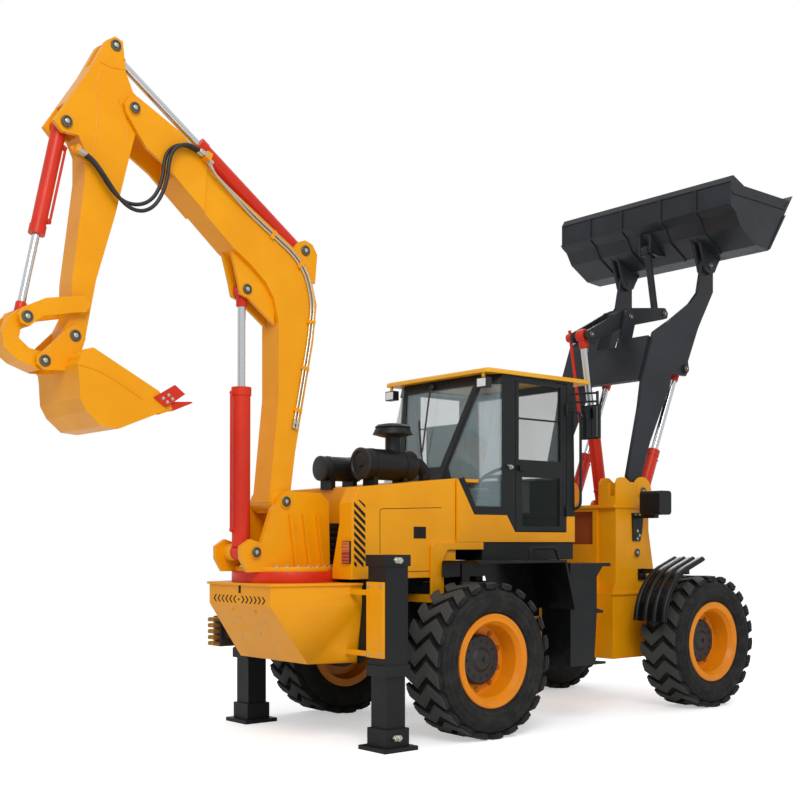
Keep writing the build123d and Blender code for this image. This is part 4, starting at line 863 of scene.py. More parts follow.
@dataclass
class PinEnds:
    """Turned collars with a locking bolt on both ends of the machine's hinge pins."""

    collar: float = 38.0
    across: float = 28.0
    outside: float = 1500.0
    slim: tuple = ("crank", "arms", "front_bucket")
    slim_share: float = 0.8
    pins: tuple = (
        ("dipper", (STICK_RAM.eye, SCOOP_RAM.foot, (-2816, 2993))),
        ("boom_arm", ((-2440, 4352), BOOM_RAM.eye, STICK_RAM.foot)),
        ("tipping_rocker", (SCOOP_RAM.eye,)),
        ("scoop", ((-2854, 2790), (-3059, 2609))),
        ("slewing_bracket", ((-1266, 1753), BOOM_RAM.foot)),
        (FRONT, ((2387, 1917), LIFT_RAM.foot)),
        ("arms", (LIFT_RAM.eye, (2697, 3587))),
        ("front_bucket", ((3391, 4102),)),
        ("crank", ((3252, 3690), TILT_RAM.eye)),
    )

    def build(self) -> None:
        """Seat the collars on the skin of each body and bolt them."""
        for body, places in self.pins:
            collars, bolts = Form(), Form()
            r = self.collar * (self.slim_share if body in self.slim else 1)
            dish = [(r, -4), (r, 6), (r - 4, 10), (r - 9, 10), (r - 12, 4), (12, 4)]
            for x, z in places:
                for s in (-1, 1):
                    face = skin(body, (x, s * self.outside, z), (0, -s, 0))
                    if face is None:
                        continue
                    collars.turned((x, face.y, z), (0, s, 0), dish, 28)
                    across = self.across * r / self.collar
                    bolts.bolt((x, face.y + s * 4, z), (0, s, 0), across, 1.0)
            collars.finish(f"{body}_pin_collars", Coat.PIN, body)
            bolts.finish(f"{body}_pin_bolts", Coat.ZINC, body)


@dataclass
class RodEnds:
    """Red sleeves and eyes on the chromed rods, as the cylinders leave the works."""

    # Body, cylinder, radius of the sleeve and of the eye's rim, half width of the eye, y
    ends: tuple = (
        ("boom_piston", BOOM_RAM, 40.0, 50.0, 38, 0.0),
        ("dipper_piston", STICK_RAM, 38.0, 50.0, 36, 0.0),
        ("scoop_piston", SCOOP_RAM, 36.0, 46.0, 34, 0.0),
        ("lift_pistons", LIFT_RAM, 42.0, 52.0, 27, 410.0),
        ("lift_pistons", LIFT_RAM, 42.0, 52.0, 27, -410.0),
        ("tilt_piston", TILT_RAM, 44.0, 58.0, 42, 0.0),
    )
    sleeve: float = 110.0

    def build(self) -> None:
        """Sleeve each rod below its eye and cap the eye's rim."""
        for number, (body, (foot, eye), radius, rim, half, y) in enumerate(self.ends):
            aim = (foot[0] - eye[0], 0, foot[1] - eye[1])
            end = self.sleeve + 8
            form = Form().turned(
                (eye[0], y, eye[1]), aim,
                [(radius - 6, 30), (radius, 44), (radius, self.sleeve), (radius - 5, end),
                 (radius - 12, end)],
                28,
            )
            form.turned(
                (eye[0], y - half, eye[1]), (0, 1, 0),
                [(rim - 3, -1), (rim + 2, 3), (rim + 2, 2 * half - 3), (rim - 3, 2 * half + 1)],
                32,
            )
            form.finish(f"{body}_eye_{number}", Coat.RED, body)


@dataclass
class BoomPipes:
    """Two steel pipes clipped along the boom's outer edge, with their end nuts."""

    radius: float = 8.0
    face_y: float = -110.0
    outer: tuple = (
        (-1878, 4106), (-1845, 4072), (-1486, 3848), (-1106, 3614), (-985, 3470),
        (-925, 3240), (-956, 2955), (-1040, 2530), (-1085, 2320),
    )
    insets: tuple = (30.0, 56.0)
    clip_half: tuple = (14, 34)
    clipped: tuple = (2, 3, 5, 6, 7)
    cap: tuple = ((12, -34), (15, -30), (15, 0), (11, 4), (11, 16), (14, 16), (14, 34), (9, 36))
    union: tuple = ((14, -40), (14, -8), (11, -8), (11, 20))

    def inside(self, inset: float) -> list[tuple]:
        """The boom's outer edge moved inwards."""
        points = [Vector(p) for p in self.outer]
        moved = []
        for i, point in enumerate(points):
            run = (points[min(i + 1, len(points) - 1)] - points[max(i - 1, 0)]).normalized()
            moved.append(point + Vector((run.y, -run.x)) * (-inset if run.y > 0 else inset))
        return [(p.x, self.face_y - self.radius - 3, p.y) for p in moved]

    def lay_clips(self) -> None:
        """Bolt a clip over both pipes in the middle of the longer runs."""
        clips = Form()
        low, high = ([Vector(p) for p in self.inside(inset)] for inset in self.insets)
        for i in self.clipped:
            a, b = low[i].lerp(low[i + 1], 0.5), high[i].lerp(high[i + 1], 0.5)
            centre = (a + b) / 2
            along = (low[i + 1] - low[i]).normalized() * self.clip_half[0]
            across = (b - a).normalized() * self.clip_half[1]
            corners = [centre + along * u + across * v for u, v in SQUARE]
            thick = 2 * self.radius + 6
            clips.pull([(c.x, self.face_y + 1, c.z) for c in corners], (0, -thick, 0))
            clips.bolt((centre.x, self.face_y + 1 - thick, centre.z), (0, -1, 0), 14)
        clips.finish("boom_pipe_clips", Coat.YELLOW, "boom_arm", 1.5)

    def build(self) -> None:
        """Bend the two pipes, clip them to the boom and cap them with nuts."""
        pipes, nuts = Form(), Form()
        for number, inset in enumerate(self.insets):
            route = self.inside(inset)
            start = (-1900, self.face_y - 40 - 34 * number, 4118 - 8 * number)
            second = (-1850, self.face_y - 30 - 20 * number, 4070 - inset * 0.6)
            pipes.tube([start, second, *route[2:]], self.radius, 90)
            nuts.turned(route[-1], Vector(route[-1]) - Vector(route[-2]), self.cap, 6)
            nuts.turned(start, (-0.82, 0, 0.55), self.union, 6)
        pipes.finish("boom_pipes", Coat.ZINC, "boom_arm")
        self.lay_clips()
        nuts.finish("boom_pipe_nuts", Coat.ZINC, "boom_arm")


@dataclass
class CylinderPipes:
    """Feed pipes and port bosses along the barrels."""

    # Body, cylinder, radius of the barrel, ends of the pipe from the foot, its side, y
    runs: tuple = (
        ("boom_tube", BOOM_RAM, 66.0, 160.0, 1150.0, -1, 0.0),
        ("dipper_tube", STICK_RAM, 55.0, 160.0, 930.0, -1, 0.0),
        ("scoop_tube", SCOOP_RAM, 49.0, 130.0, 640.0, -1, 0.0),
        ("tilt_tube", TILT_RAM, 58.0, 150.0, 860.0, -1, 0.0),
        ("lift_tubes", LIFT_RAM, 52.0, 500.0, 960.0, 1, 410.0),
        ("lift_tubes", LIFT_RAM, 52.0, 500.0, 960.0, 1, -410.0),
    )
    pipe: float = 9.0
    clearance: float = 20.0

    def build(self) -> None:
        """Lay one pipe along each barrel, between two port bosses."""
        for number, (body, (foot, eye), barrel, low, high, turn, y) in enumerate(self.runs):
            form = Form()
            along = Vector((eye[0] - foot[0], 0, eye[1] - foot[1])).normalized()
            out = Vector((along.z, 0, -along.x)) * turn
            base = Vector((foot[0], y, foot[1]))
            near, far = base + along * low, base + along * high
            boss = [(19, barrel - 6), (19, barrel + 12), (14, barrel + 12), (14, barrel + 26)]
            for place in (near, far):
                form.turned(place, out, boss, 12)
            start, reach = out * (barrel + 8), out * (barrel + self.clearance)
            route = [near + start, near + reach + along * 10, far + reach - along * 10, far + start]
            form.tube(route, self.pipe, 24)
            form.finish(f"{body}_pipe_{number}", Coat.RED, body)


@dataclass
class ScoopEdges:
    """Red side cutters and tooth caps of the scoop, weld beads of scoop and stick."""

    half: float = 310.0
    plate: float = 18.0
    cutter: tuple = ((-2395, 2410), (-2241, 2504), (-2165, 2448), (-2305, 2352))
    cutter_bolts: tuple = ((-2330, 2408), (-2290, 2432), (-2300, 2385), (-2262, 2409))
    cap: tuple = ((-2252, 2330), (-2262, 2392), (-2110, 2404), (-2096, 2397))
    cap_half: float = 30.0
    teeth: tuple = (-280, -140, 0, 140, 280)
    side_bead: tuple = ((-2930, 2580), (-2787, 2556), (-2620, 2478), (-2471, 2392))
    stick_half: float = 98.5
    # Corners of each bead of the stick and the length of its bends
    stick_beads: tuple = (
        (((-2668, 4612), (-2580, 4596), (-2498, 4606)), 40),
        (((-2672, 4560), (-2700, 4100), (-2745, 3860)), 80),
        (((-2540, 4400), (-2470, 4260), (-2478, 4100)), 80),
    )

    def build(self) -> None:
        """Bolt on the cutters and caps and lay the beads."""
        cutters, bolts, caps, beads, stick = Form(), Form(), Form(), Form(), Form()
        cutters.twin_plate(self.cutter, self.half, self.half + self.plate)
        for y in self.teeth:
            caps.side_plate(self.cap, y - self.cap_half, y + self.cap_half)
        bolts.twin_bolts(self.cutter_bolts, self.half + self.plate, 15)
        beads.twin_tube(self.side_bead, self.half + 1, 5, 60, 8)
        for route, bend in self.stick_beads:
            stick.twin_tube(route, self.stick_half, 4, bend, 8)
        cutters.finish("scoop_side_cutters", Coat.RED, "scoop", 2)
        caps.finish("scoop_tooth_caps", Coat.RED, "scoop", 3)
        bolts.finish("scoop_cutter_bolts", Coat.ZINC, "scoop")
        beads.finish("scoop_side_beads", Coat.YELLOW, "scoop")
        stick.finish("stick_weld_beads", Coat.YELLOW, "dipper")


@dataclass
class HoodTrim:
    """Vent slots, door gaps and tail lamps on both sides of the engine hood."""

    half: float = 600.0
    slot_rows: int = 9
    slot_x: float = -950.0
    slot_top: float = 1745.0
    slot_pitch: float = 53.0
    slot_drop: float = 88.0
    slot_run: float = 102.0
    lowest: float = 1300.0
    corner_slot: tuple = ((-898, 1762), (-914, 1762), (-848, 1706), (-848, 1726))
    latch: tuple = ((-388, 1486), (-266, 1486), (-266, 1575), (-388, 1575))
    door: tuple = ((-712, 1375), (-712, 1690), (-700, 1702), (-300, 1716), (-110, 1722))
    sill: tuple = ((-712, 1240), (40, 1240))

    def build(self) -> None:
        """Lay black plates as painted shade in the slots, draw the gaps and set the lamps."""
        slots, gaps, lamps_high, lamps_low = Form(), Form(), Form(), Form()
        inner, outer = self.half - 1, self.half + 1.5
        # Each vent slot is a thin black plate on the hood's side: painted shade for its dark inside
        for row in range(self.slot_rows):
            z = self.slot_top - self.slot_pitch * row
            low = max(z - self.slot_drop, self.lowest)
            x = self.slot_x + self.slot_run * (z - low) / self.slot_drop
            outline = ((self.slot_x, z + 3), (self.slot_x, z - 27), (x, low - 24), (x, low + 6))
            slots.twin_plate(outline, inner, outer)
        slots.twin_plate(self.corner_slot, inner, outer).twin_plate(self.latch, inner, outer)
        for outline, bend in ((self.door, 12), (self.sill, 0)):
            gaps.twin_tube(outline, self.half + 0.5, 2.2, bend, 6)
        lamps_high.twin_block((-990, -983), (502, 588), (1386, 1462))
        lamps_low.twin_block((-990, -983), (502, 588), (1308, 1384))
        slots.finish("hood_vents", Coat.HOLE, REAR)
        gaps.finish("hood_door_gaps", Coat.HOLE, REAR)
        lamps_high.finish("tail_lamps_amber", Coat.AMBER_LENS, REAR, 3)
        lamps_low.finish("tail_lamps_red", Coat.RED_LENS, REAR, 3)


@dataclass
class CleanerTrim:
    """End caps and clamp bands of the air cleaner, its rain cap and the silencer."""

    # Base, axis, profile and corners of the round section
    caps: tuple = (
        ((-650, -300, 2050), (-1, 0, 0),
         ((112, -2), (122, 0), (122, 14), (112, 20), (96, 20), (90, 10), (30, 10), (26, 22),
          (0, 22)), 40),
        ((-180, -300, 2050), (1, 0, 0), ((118, -1), (119, 4), (98, 22), (60, 26), (0, 26)), 40),
        ((-343, -300, 2345), (0, 0, 1), ((140, -4), (118, 14), (60, 24), (0, 26)), 40),
        ((-343, -300, 2262), (0, 0, 1), ((62, 0), (95, 6), (140, 20), (156, 26)), 40),
        ((-807, 0, 2022), (-1, 0, 0), ((92, -2), (96, 0), (96, 10), (84, 14), (0, 14)), 36),
    )
    # Base, axis, radius, width and corners of the round section
    bands: tuple = (
        ((-575, -300, 2050), (1, 0, 0), 117, 30, 40),
        ((-285, -300, 2050), (1, 0, 0), 117, 30, 40),
        ((-752, 0, 2022), (1, 0, 0), 93, 24, 36),
        ((-542, 0, 2022), (1, 0, 0), 93, 24, 36),
        ((-343, -300, 2150), (0, 0, 1), 57, 16, 32),
    )

    def build(self) -> None:
        """Turn the caps and bands."""
        caps, bands = Form(), Form()
        for base, axis, profile, sides in self.caps:
            caps.turned(base, axis, profile, sides)
        for base, axis, r, width, sides in self.bands:
            strap = [(r, 0), (r + 4, 1), (r + 4, width - 1), (r, width)]
            bands.turned(base, axis, strap, sides)
        caps.finish("air_cleaner_caps", Coat.PLASTIC, REAR)
        bands.finish("air_cleaner_bands", Coat.BLACK, REAR)


@dataclass
class BaseTrim:
    """Bolts, cut marks and fittings of the backhoe's base box, ring and legs."""

    centre: float = -1136.0
    bolt_circle: float = 352.0
    bolts_round: int = 28
    flange_top: float = 1285.0
    rear_face: float = -1539.0
    mark_pitch: float = 54.0
    mark_deep: float = 2.5
    slope: tuple = (-0.82, 0, -0.57)
    slope_bolts: tuple = (
        (-210, 880), (-60, 800), (-130, 705), (90, 905), (230, 860), (250, 740)
    )
    slope_studs: tuple = ((120, 965), (-170, 960))
    lug: tuple = ((-46, 6), (-26, 24), (30, 20), (46, 0), (30, -20), (-26, -18))

    def ring_bolts(self) -> None:
        """Bolt the bracket's flange down, where its plates leave room."""
        form = Form()
        for k in range(self.bolts_round):
            angle = math.tau * (k + 0.5) / self.bolts_round
            x, y = polar(self.centre, 0, self.bolt_circle, angle)
            face = skin("slewing_bracket", (x, y, 2600), (0, 0, -1))
            if face is not None and face.z < self.flange_top:
                form.bolt((x, y, face.z), (0, 0, 1), 32)
        form.finish("slewing_flange_bolts", Coat.ZINC, "slewing_bracket")

    def cut_marks(self) -> None:
        """Slots and arrow-like cut-outs across the box's rear face, which point outwards."""
        # The hole, slots and cut-outs are thin black solids on the face: painted shade for their
        # insides
        form = Form()
        form.turned((self.rear_face, 0, 1045), (-1, 0, 0), [(9, 0), (9, self.mark_deep)], 16)
        outlines = [((-27, 1090), (3, 1090), (3, 1146), (-27, 1146))]
        for k in (*range(-6, 0), *range(1, 7)):
            y, lean = self.mark_pitch * k, 14 if k < 0 else -14
            outlines.append((
                (y - 8 + lean, 1072), (y + 8 + lean, 1072), (y + 8 - lean, 1045),
                (y + 8 + lean, 1018), (y - 8 + lean, 1018), (y - 8 - lean, 1045),
            ))
        for outline in outlines:
            form.pull([(self.rear_face, y, z) for y, z in outline], (-self.mark_deep, 0, 0))
        form.finish("base_box_cut_marks", Coat.HOLE, REAR)

    def plate_bolts(self) -> None:
        """Bolts at the corners of the side plates, bolts and studs on the sloping face."""
        bolts, studs = Form(), Form()
        for y in (-948, -812, 812, 948):
            for z in (676, 1154):
                bolts.bolt((-989, y, z), (-1, 0, 0), 20)
        for form, places, across in (
            (bolts, self.slope_bolts, 15), (studs, self.slope_studs, 18)
        ):
            for y, z in places:
                face = skin(REAR, (-2200, y, z), (1, 0, 0))
                form.bolt(face, self.slope, across)
        bolts.finish("base_box_bolts", Coat.ZINC, REAR)
        studs.finish("base_box_studs", Coat.YELLOW, REAR)

    def leg_lugs(self) -> None:
        """Cast lugs with bright bolts on the housings' heads and on the legs' feet."""
        for s, name in SIDES:
            for z, out, body, tag in (
                (1330, 994, REAR, "head"), (92, 985, f"{name}_leg", "foot")
            ):
                form = Form()
                low, high = sorted((s * out, s * (out + 16)))
                form.side_plate([(-874 + x, z + h) for x, h in self.lug], low, high)
                form.bolt((-860, s * (out + 15), z), (0, s, 0), 30)
                stud = [(13, 0), (13, 10), (8, 14), (0, 14)]
                form.turned((-900, s * (out + 14), z + 2), (0, s, 0), stud, 16)
                form.finish(f"leg_{name}_{tag}_lug", Coat.ZINC, body, 2)

    def ridged(self, radius: float, ridges: int) -> list[tuple]:
        """Profile of a knurled cap: ridges 8 mm apart and a domed end."""
        profile = [(radius, 0)]
        for k in range(ridges):
            profile += [(radius + 3, 2 + 8 * k), (radius - 3, 6 + 8 * k)]
        return [*profile, (radius + 1, 2 + 8 * ridges), (0, 4 + 8 * ridges)]

    def valve_fittings(self) -> None:
        """Ridged brass caps on the spools of the valve block and its hose unions."""
        form, bank = Form(), Form()
        for z in (744.5, 799.5, 854.5, 909.5):
            form.turned((-1062, 667, z), (-1, 0, 0), self.ridged(16, 6), 14)
            form.turned((-1020, 699, z), (0, 1, 0), [(15, 0), (15, 18), (11, 18), (11, 34)], 6)
        for y in (628, 676):
            for z in range(676, 861, 46):
                form.turned((-1330, y, z), (-1, 0, 0), self.ridged(15, 7), 14)
        form.finish("valve_brass_caps", Coat.BRASS, REAR)
        bank.block((-1332, -1010), (600, 704), (650, 886))
        bank.block((-1300, -1060), (470, 610), (720, 820))
        bank.finish("valve_bank", Coat.CAST, REAR, 8)

    def build(self) -> None:
        """Make every part of the trim."""
        self.ring_bolts()
        self.cut_marks()
        self.plate_bolts()
        self.leg_lugs()
        self.valve_fittings()


@dataclass
class CabTrim:
    """Lenses, wiper, rails, locks, mirrors and door bars of the cab."""

    half: float = 620.0
    pane_foot: tuple = (100.0, 1674.0)
    pane_head: tuple = (426.0, 2800.0)
    # Limits in y and z of the four strips of a bezel
    strips: tuple = (
        ((515, 522), (2680, 2760)), ((618, 625), (2680, 2760)),
        ((522, 618), (2752, 2760)), ((522, 618), (2680, 2688)),
    )

    def on_rear_pane(self, y: float, z: float, out: float) -> tuple:
        """Point on the sloping rear pane at a height, moved outwards."""
        share = (z - self.pane_foot[1]) / (self.pane_head[1] - self.pane_foot[1])
        return (self.pane_foot[0] + share * (self.pane_head[0] - self.pane_foot[0]) - out, y, z)

    def lenses(self) -> None:
        """Lenses of the rear work lamps with their black bezels, and the mirrors' glass."""
        glass, bezel, mirror = Form(), Form(), Form()
        glass.twin_block((338, 346), (522, 618), (2688, 2752))
        for y, z in self.strips:
            bezel.twin_block((340, 346), y, z)
        mirror.twin_block((1436, 1441), (656, 817), (2334, 2594))
        glass.finish("work_lamp_lenses", Coat.WHITE_LENS, REAR, 2)
        bezel.finish("work_lamp_bezels", Coat.PLASTIC, REAR)
        mirror.finish("mirror_faces", Coat.MIRROR, REAR, 2)

    def wipers(self) -> None:
        """Arm and blade on the rear pane."""
        arm, blade = Form(), Form()
        hub = [(24, 0), (24, 30), (14, 38), (0, 38)]
        arm.turned(self.on_rear_pane(70, 2742, 0), (-1, 0, 0.28), hub, 18)
        for form, radius, bend, route in (
            (arm, 7, 30, ((70, 2740, 36), (58, 2640, 38), (10, 2200, 24))),
            (blade, 8, 60, ((150, 2470, 16), (60, 2270, 20), (-40, 2050, 16))),
        ):
            form.tube([self.on_rear_pane(*place) for place in route], radius, bend, 8)
        arm.finish("rear_wiper_arm", Coat.PLASTIC, REAR)
        blade.finish("rear_wiper_blade", Coat.HOSE, REAR)

    def rails(self) -> None:
        """Grab rails on the front pillars and by the steps."""
        pillar = ((1372, 616, 2560), (1404, 664, 2540), (1404, 664, 1760), (1372, 612, 1735))
        step = ((716, 740, 1318), (716, 740, 1412), (1010, 740, 1412), (1062, 740, 1290))
        for s, name in SIDES:
            form = Form()
            for route, radius, bend in ((pillar, 12, 45), (step, 13, 40)):
                form.tube([(x, s * y, z) for x, y, z in route], radius, bend, 10)
            form.finish(f"grab_rails_{name}", Coat.BLACK, REAR)

    def locks(self) -> None:
        """Door locks and the bars across the doors' upper windows."""
        barrel = [(19, -2), (19, 6), (12, 10), (12, 24), (0, 26)]
        for s, name in SIDES:
            form = Form().turned((616, s * self.half, 2060), (0, s, 0), barrel, 18)
            form.tube([(600, s * 640, 2062), (560, s * 648, 2072)], 7, 0, 8)
            form.finish(f"cab_lock_{name}", Coat.ZINC, REAR)
            bar = Form().block((712, 1204), sorted((s * 598, s * 612)), (2452, 2466))
            bar.finish(f"door_bar_{name}", Coat.BLACK, f"{name}_door", 2)

    def build(self) -> None:
        """Make every part of the trim."""
        self.lenses()
        self.wipers()
        self.rails()
        self.locks()


@dataclass
class LoaderTrim:
    """Headlamps, recess wall, bucket seams, leveller bar and fender ribs of the front end."""

    bucket_half: float = 1025.0
    seam: float = 9.0
    wheelbase: float = 2713.0
    bracket_bolts: tuple = (
        (2274, 1700), (2330, 1700), (2302, 1560), (2330, 1520), (2302, 1490)
    )
    side_seams: tuple = (
        ((3052, 4618), (3052, 4640), (3880, 4640), (3952, 4708), (3966, 4692), (3892, 4618)),
        ((3866, 4560), (3625, 4212), (3640, 4202), (3905, 4570)),
    )
    ledges: tuple = (
        ((3030, 4504), (3006, 4520), (3006, 4530), (3030, 4530)),
        ((3032, 4716), (3018, 4722), (3018, 4731), (3032, 4731)),
    )
    fender_radius: float = 504.0
    fender_end: float = 228.0
    ribs: tuple = (728, 826, 924, 1022)

    def headlamps(self) -> None:
        """Deep lenses set in the fronts of the headlamp shells, and the bracket bolts."""
        lens, rims, bolts = Form(), Form(), Form()
        front = self.wheelbase - 334
        lens.twin_block((front - 2, front + 5), (664, 836), (1722, 1890))
        dish = [(44, 0), (44, 4), (38, 5), (38, 1), (0, 1)]
        for y in (-800, -700, 700, 800):
            rims.turned((front + 4, y, 1806), (1, 0, 0), dish, 28)
        bolts.twin_bolts(self.bracket_bolts, 545, 18)
        lens.finish("headlamp_lenses", Coat.WHITE_LENS, FRONT, 6)
        rims.finish("headlamp_reflectors", Coat.CHROME, FRONT)
        bolts.finish("headlamp_bracket_bolts", Coat.ZINC, FRONT)

    def recess_wall(self) -> None:
        """Plate that shows through the opening of the tower's cross wall, red-brown painted shade.
        """
        x = self.wheelbase - 640
        wall = Form().block((x, x + 8), (-331, 331), (1110, 1764))
        wall.finish("tower_recess_wall", Coat.PAINTED_SHADE_WALL, FRONT)

    def bucket_seams(self) -> None:
        """Edge strips on the bucket's sides and the long ledges across its back."""
        form = Form()
        for outline in self.side_seams:
            form.twin_plate(outline, self.bucket_half, self.bucket_half + self.seam)
        for outline in self.ledges:
            form.side_plate(outline, -1020, 1020)
        form.finish("bucket_seams", Coat.GREY, "front_bucket", 2)

    def leveller(self) -> None:
        """Red rod of the bucket leveller beside the tilt cylinder, hung on the crank's pin."""
        foot, eye = (Vector((x, 150, z)) for x, z in TILT_RAM)
        along = (foot - eye).normalized()
        form = Form().turned(eye - along * 70, along, [(15, 0), (15, 860), (11, 866), (0, 866)], 16)
        form.turned(eye + Vector((0, -34, 0)), (0, 1, 0), [(40, 0), (40, 60)], 24)
        form.finish("leveller_rod", Coat.RED, "tilt_piston")
        top = (foot.x - along.x * 640, 0, foot.z - along.z * 640)
        sleeve = Form().turned(top, -along, [(59, 0), (62, 3), (62, 210), (59, 213)], 32)
        sleeve.finish("tilt_barrel_sleeve", Coat.BLACK, "tilt_tube")

    def fender_lips(self) -> None:
        """Rounded ribs laid over the rolled front fenders."""
        form = Form()
        arc = [
            polar(self.wheelbase - 153, 760.0, self.fender_radius, math.radians(a))
            for a in (*range(178, 109, -6), 110)
        ]
        arc.append(polar(*arc[-1], self.fender_end, math.radians(20)))
        for y in self.ribs:
            form.twin_tube(arc, y, 24, 10, 12)
        form.finish("front_fender_beads", Coat.BLACK, FRONT)

    def build(self) -> None:
        """Make every part of the trim."""
        self.headlamps()
        self.recess_wall()
        self.bucket_seams()
        self.leveller()
        self.fender_lips()


@dataclass
class TreadLugs:
    """Broad zigzag lugs of one tyre, moulded over the slim ones of its solid."""

    body: str
    tyre: str
    x: float
    y: float
    lugs: int = 22
    end_in_mm: float = 24.0
    depth_mm: float = 38.0
    proud_mm: float = 0.3
    half_share: float = 0.31
    draft_mm: float = 5.0
    # Across the tread, in shares of its half width, and round it, in shares of the pitch
    zigzag: tuple = ((-1.0, 0.0), (-1 / 3, 0.55), (1 / 3, -0.09), (1.0, 0.46))

    def phase(self, across: float, reach: float) -> float:
        """Where the solid's lugs stand at one place across the tread, in pitches."""
        total = Vector((0.0, 0.0))
        for vertex in NODES[self.tyre].data.vertices:
            spot = vertex.co - site(self.x, self.y, WHEEL_Z)
            on_top = math.hypot(spot.x, spot.z) > (TYRE_RADIUS - 4) * MM
            if on_top and abs(spot.y - across * reach * MM) < 2 * MM:
                turn = math.atan2(spot.z, spot.x) * self.lugs
                total += Vector((math.cos(turn), math.sin(turn)))
        return math.atan2(total.y, total.x) / math.tau

    def stations(self) -> list[tuple]:
        """The zigzag's corners with two places between each pair, for a band that bends."""
        places = []
        for (y0, t0), (y1, t1) in zip(self.zigzag, self.zigzag[1:]):
            places += [(y0 + (y1 - y0) * k / 3, t0 + (t1 - t0) * k / 3) for k in range(3)]
        return [*places, self.zigzag[-1]]

    def build(self) -> None:
        """Lay a drafted band along the zigzag for each lug."""
        low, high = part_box(self.tyre)
        reach = (high.y - low.y) / MM / 2 - self.end_in_mm
        start = self.phase(-1.0, reach)
        step = (self.phase(-1 / 3, reach) - start) % 1.0
        # The solid's zigzag turns one way on one side and the other way on its mirror image
        way = 1 if abs(step - 0.55) < abs(step - 0.45) else -1
        log.info("%s lugs from %.3f, step %.3f", self.tyre, start, step)
        crest, foot = TYRE_RADIUS + self.proud_mm, TYRE_RADIUS - self.depth_mm
        section = ((-1, foot), (-1, crest), (0, crest), (1, crest), (1, foot))
        form, stations = Form(), self.stations()
        solid = form.solid
        for lug in range(self.lugs):
            rings = []
            for across, turn in stations:
                corners = []
                for side, radius in section:
                    grow = side * self.draft_mm / radius if radius == foot else 0.0
                    pitches = lug + start + way * turn + self.half_share * side
                    x, z = polar(self.x, WHEEL_Z, radius, math.tau * pitches / self.lugs + grow)
                    corners.append(solid.verts.new(site(x, self.y + across * reach, z)))
                rings.append(corners)
            for near, far in zip(rings, rings[1:]):
                for k in range(len(section)):
                    solid.faces.new((near[k - 1], near[k], far[k], far[k - 1]))
            solid.faces.new(rings[0][::-1])
            solid.faces.new(rings[-1])
        form.finish(f"{self.body}_tread_lugs", Coat.TYRE, self.body, bevel=3.0)


@dataclass
class WheelTrim:
    """Lock ring, nuts, moulded sidewall rings and broad lugs of the four wheels."""

    nut_circle: float = 232.0
    nuts: int = 10
    lock_ring: tuple = ((336, 0), (348, 4), (344, 9), (330, 9), (322, 3), (322, -4))
    wall_rings: tuple = (372, 404, 446, 452, 492)

    def dress(self, end: str, s: int, name: str) -> None:
        """Dress one wheel; the parts turn with it.

        Args:
            end: rear or front.
            s: sign of the side's Y.
            name: word for the side.
        """
        rim, tyre, body = (f"{part}_{end}_{name}" for part in ("rim", "tyre", "wheel"))
        low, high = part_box(rim)
        x = ((low.x + high.x) / 2 - REAR_AXLE_X) / MM
        outer = (high.y if s > 0 else low.y) / MM
        ring, nuts, walls = Form(), Form(), Form()
        ring.turned((x, outer - s * 6, WHEEL_Z), (0, s, 0), self.lock_ring, 64, True)
        ring.finish(f"{body}_lock_ring", Coat.RIM, body)
        turns = [(k + 0.5) / self.nuts for k in range(self.nuts)]
        nuts.bolt_ring(rim, (x, WHEEL_Z), s, self.nut_circle, turns, 30)
        # The nuts take the darker orange: painted shade
        nuts.finish(f"{body}_nuts", Coat.RIM_SHADE, body)
        for r in self.wall_rings:
            y = flank(tyre, x + r, WHEEL_Z, s)
            if y is not None:
                bead = [(r - 5, 0), (r - 3, 8), (r + 3, 8), (r + 5, 0)]
                walls.turned((x, y - s * 5, WHEEL_Z), (0, s, 0), bead, 72, True)
        walls.finish(f"{body}_sidewall_rings", Coat.TYRE, body)
        TreadLugs(body, tyre, x, (low.y + high.y) / 2 / MM).build()

    def build(self) -> None:
        """Dress the four wheels."""
        for end in ("rear", "front"):
            for s, name in SIDES:
                self.dress(end, s, name)


@dataclass
class HubTrim:
    """Studs and plugs on the planetary hubs, which stay with the axles."""

    circle: float = 140.0
    studs: int = 12
    plug: tuple = ((24, -2), (24, 6), (16, 8), (16, 14), (0, 14))
    axles: tuple = ((REAR, "rear_axle", 0.0), (FRONT, "front_axle", FRONT_AXLE))

    def build(self) -> None:
        """Stud the hub covers of both axles."""
        for body, axle, axle_x in self.axles:
            form = Form()
            for s in (-1, 1):
                turns = [k / self.studs for k in range(self.studs)]
                form.bolt_ring(axle, (axle_x, WHEEL_Z), s, self.circle, turns, 17)
                y = flank(axle, axle_x + 30, WHEEL_Z, s)
                form.turned((axle_x + 20, y, WHEEL_Z), (0, s, 0), self.plug, 6)
            form.finish(f"{axle}_hub_studs", Coat.CAST, body)


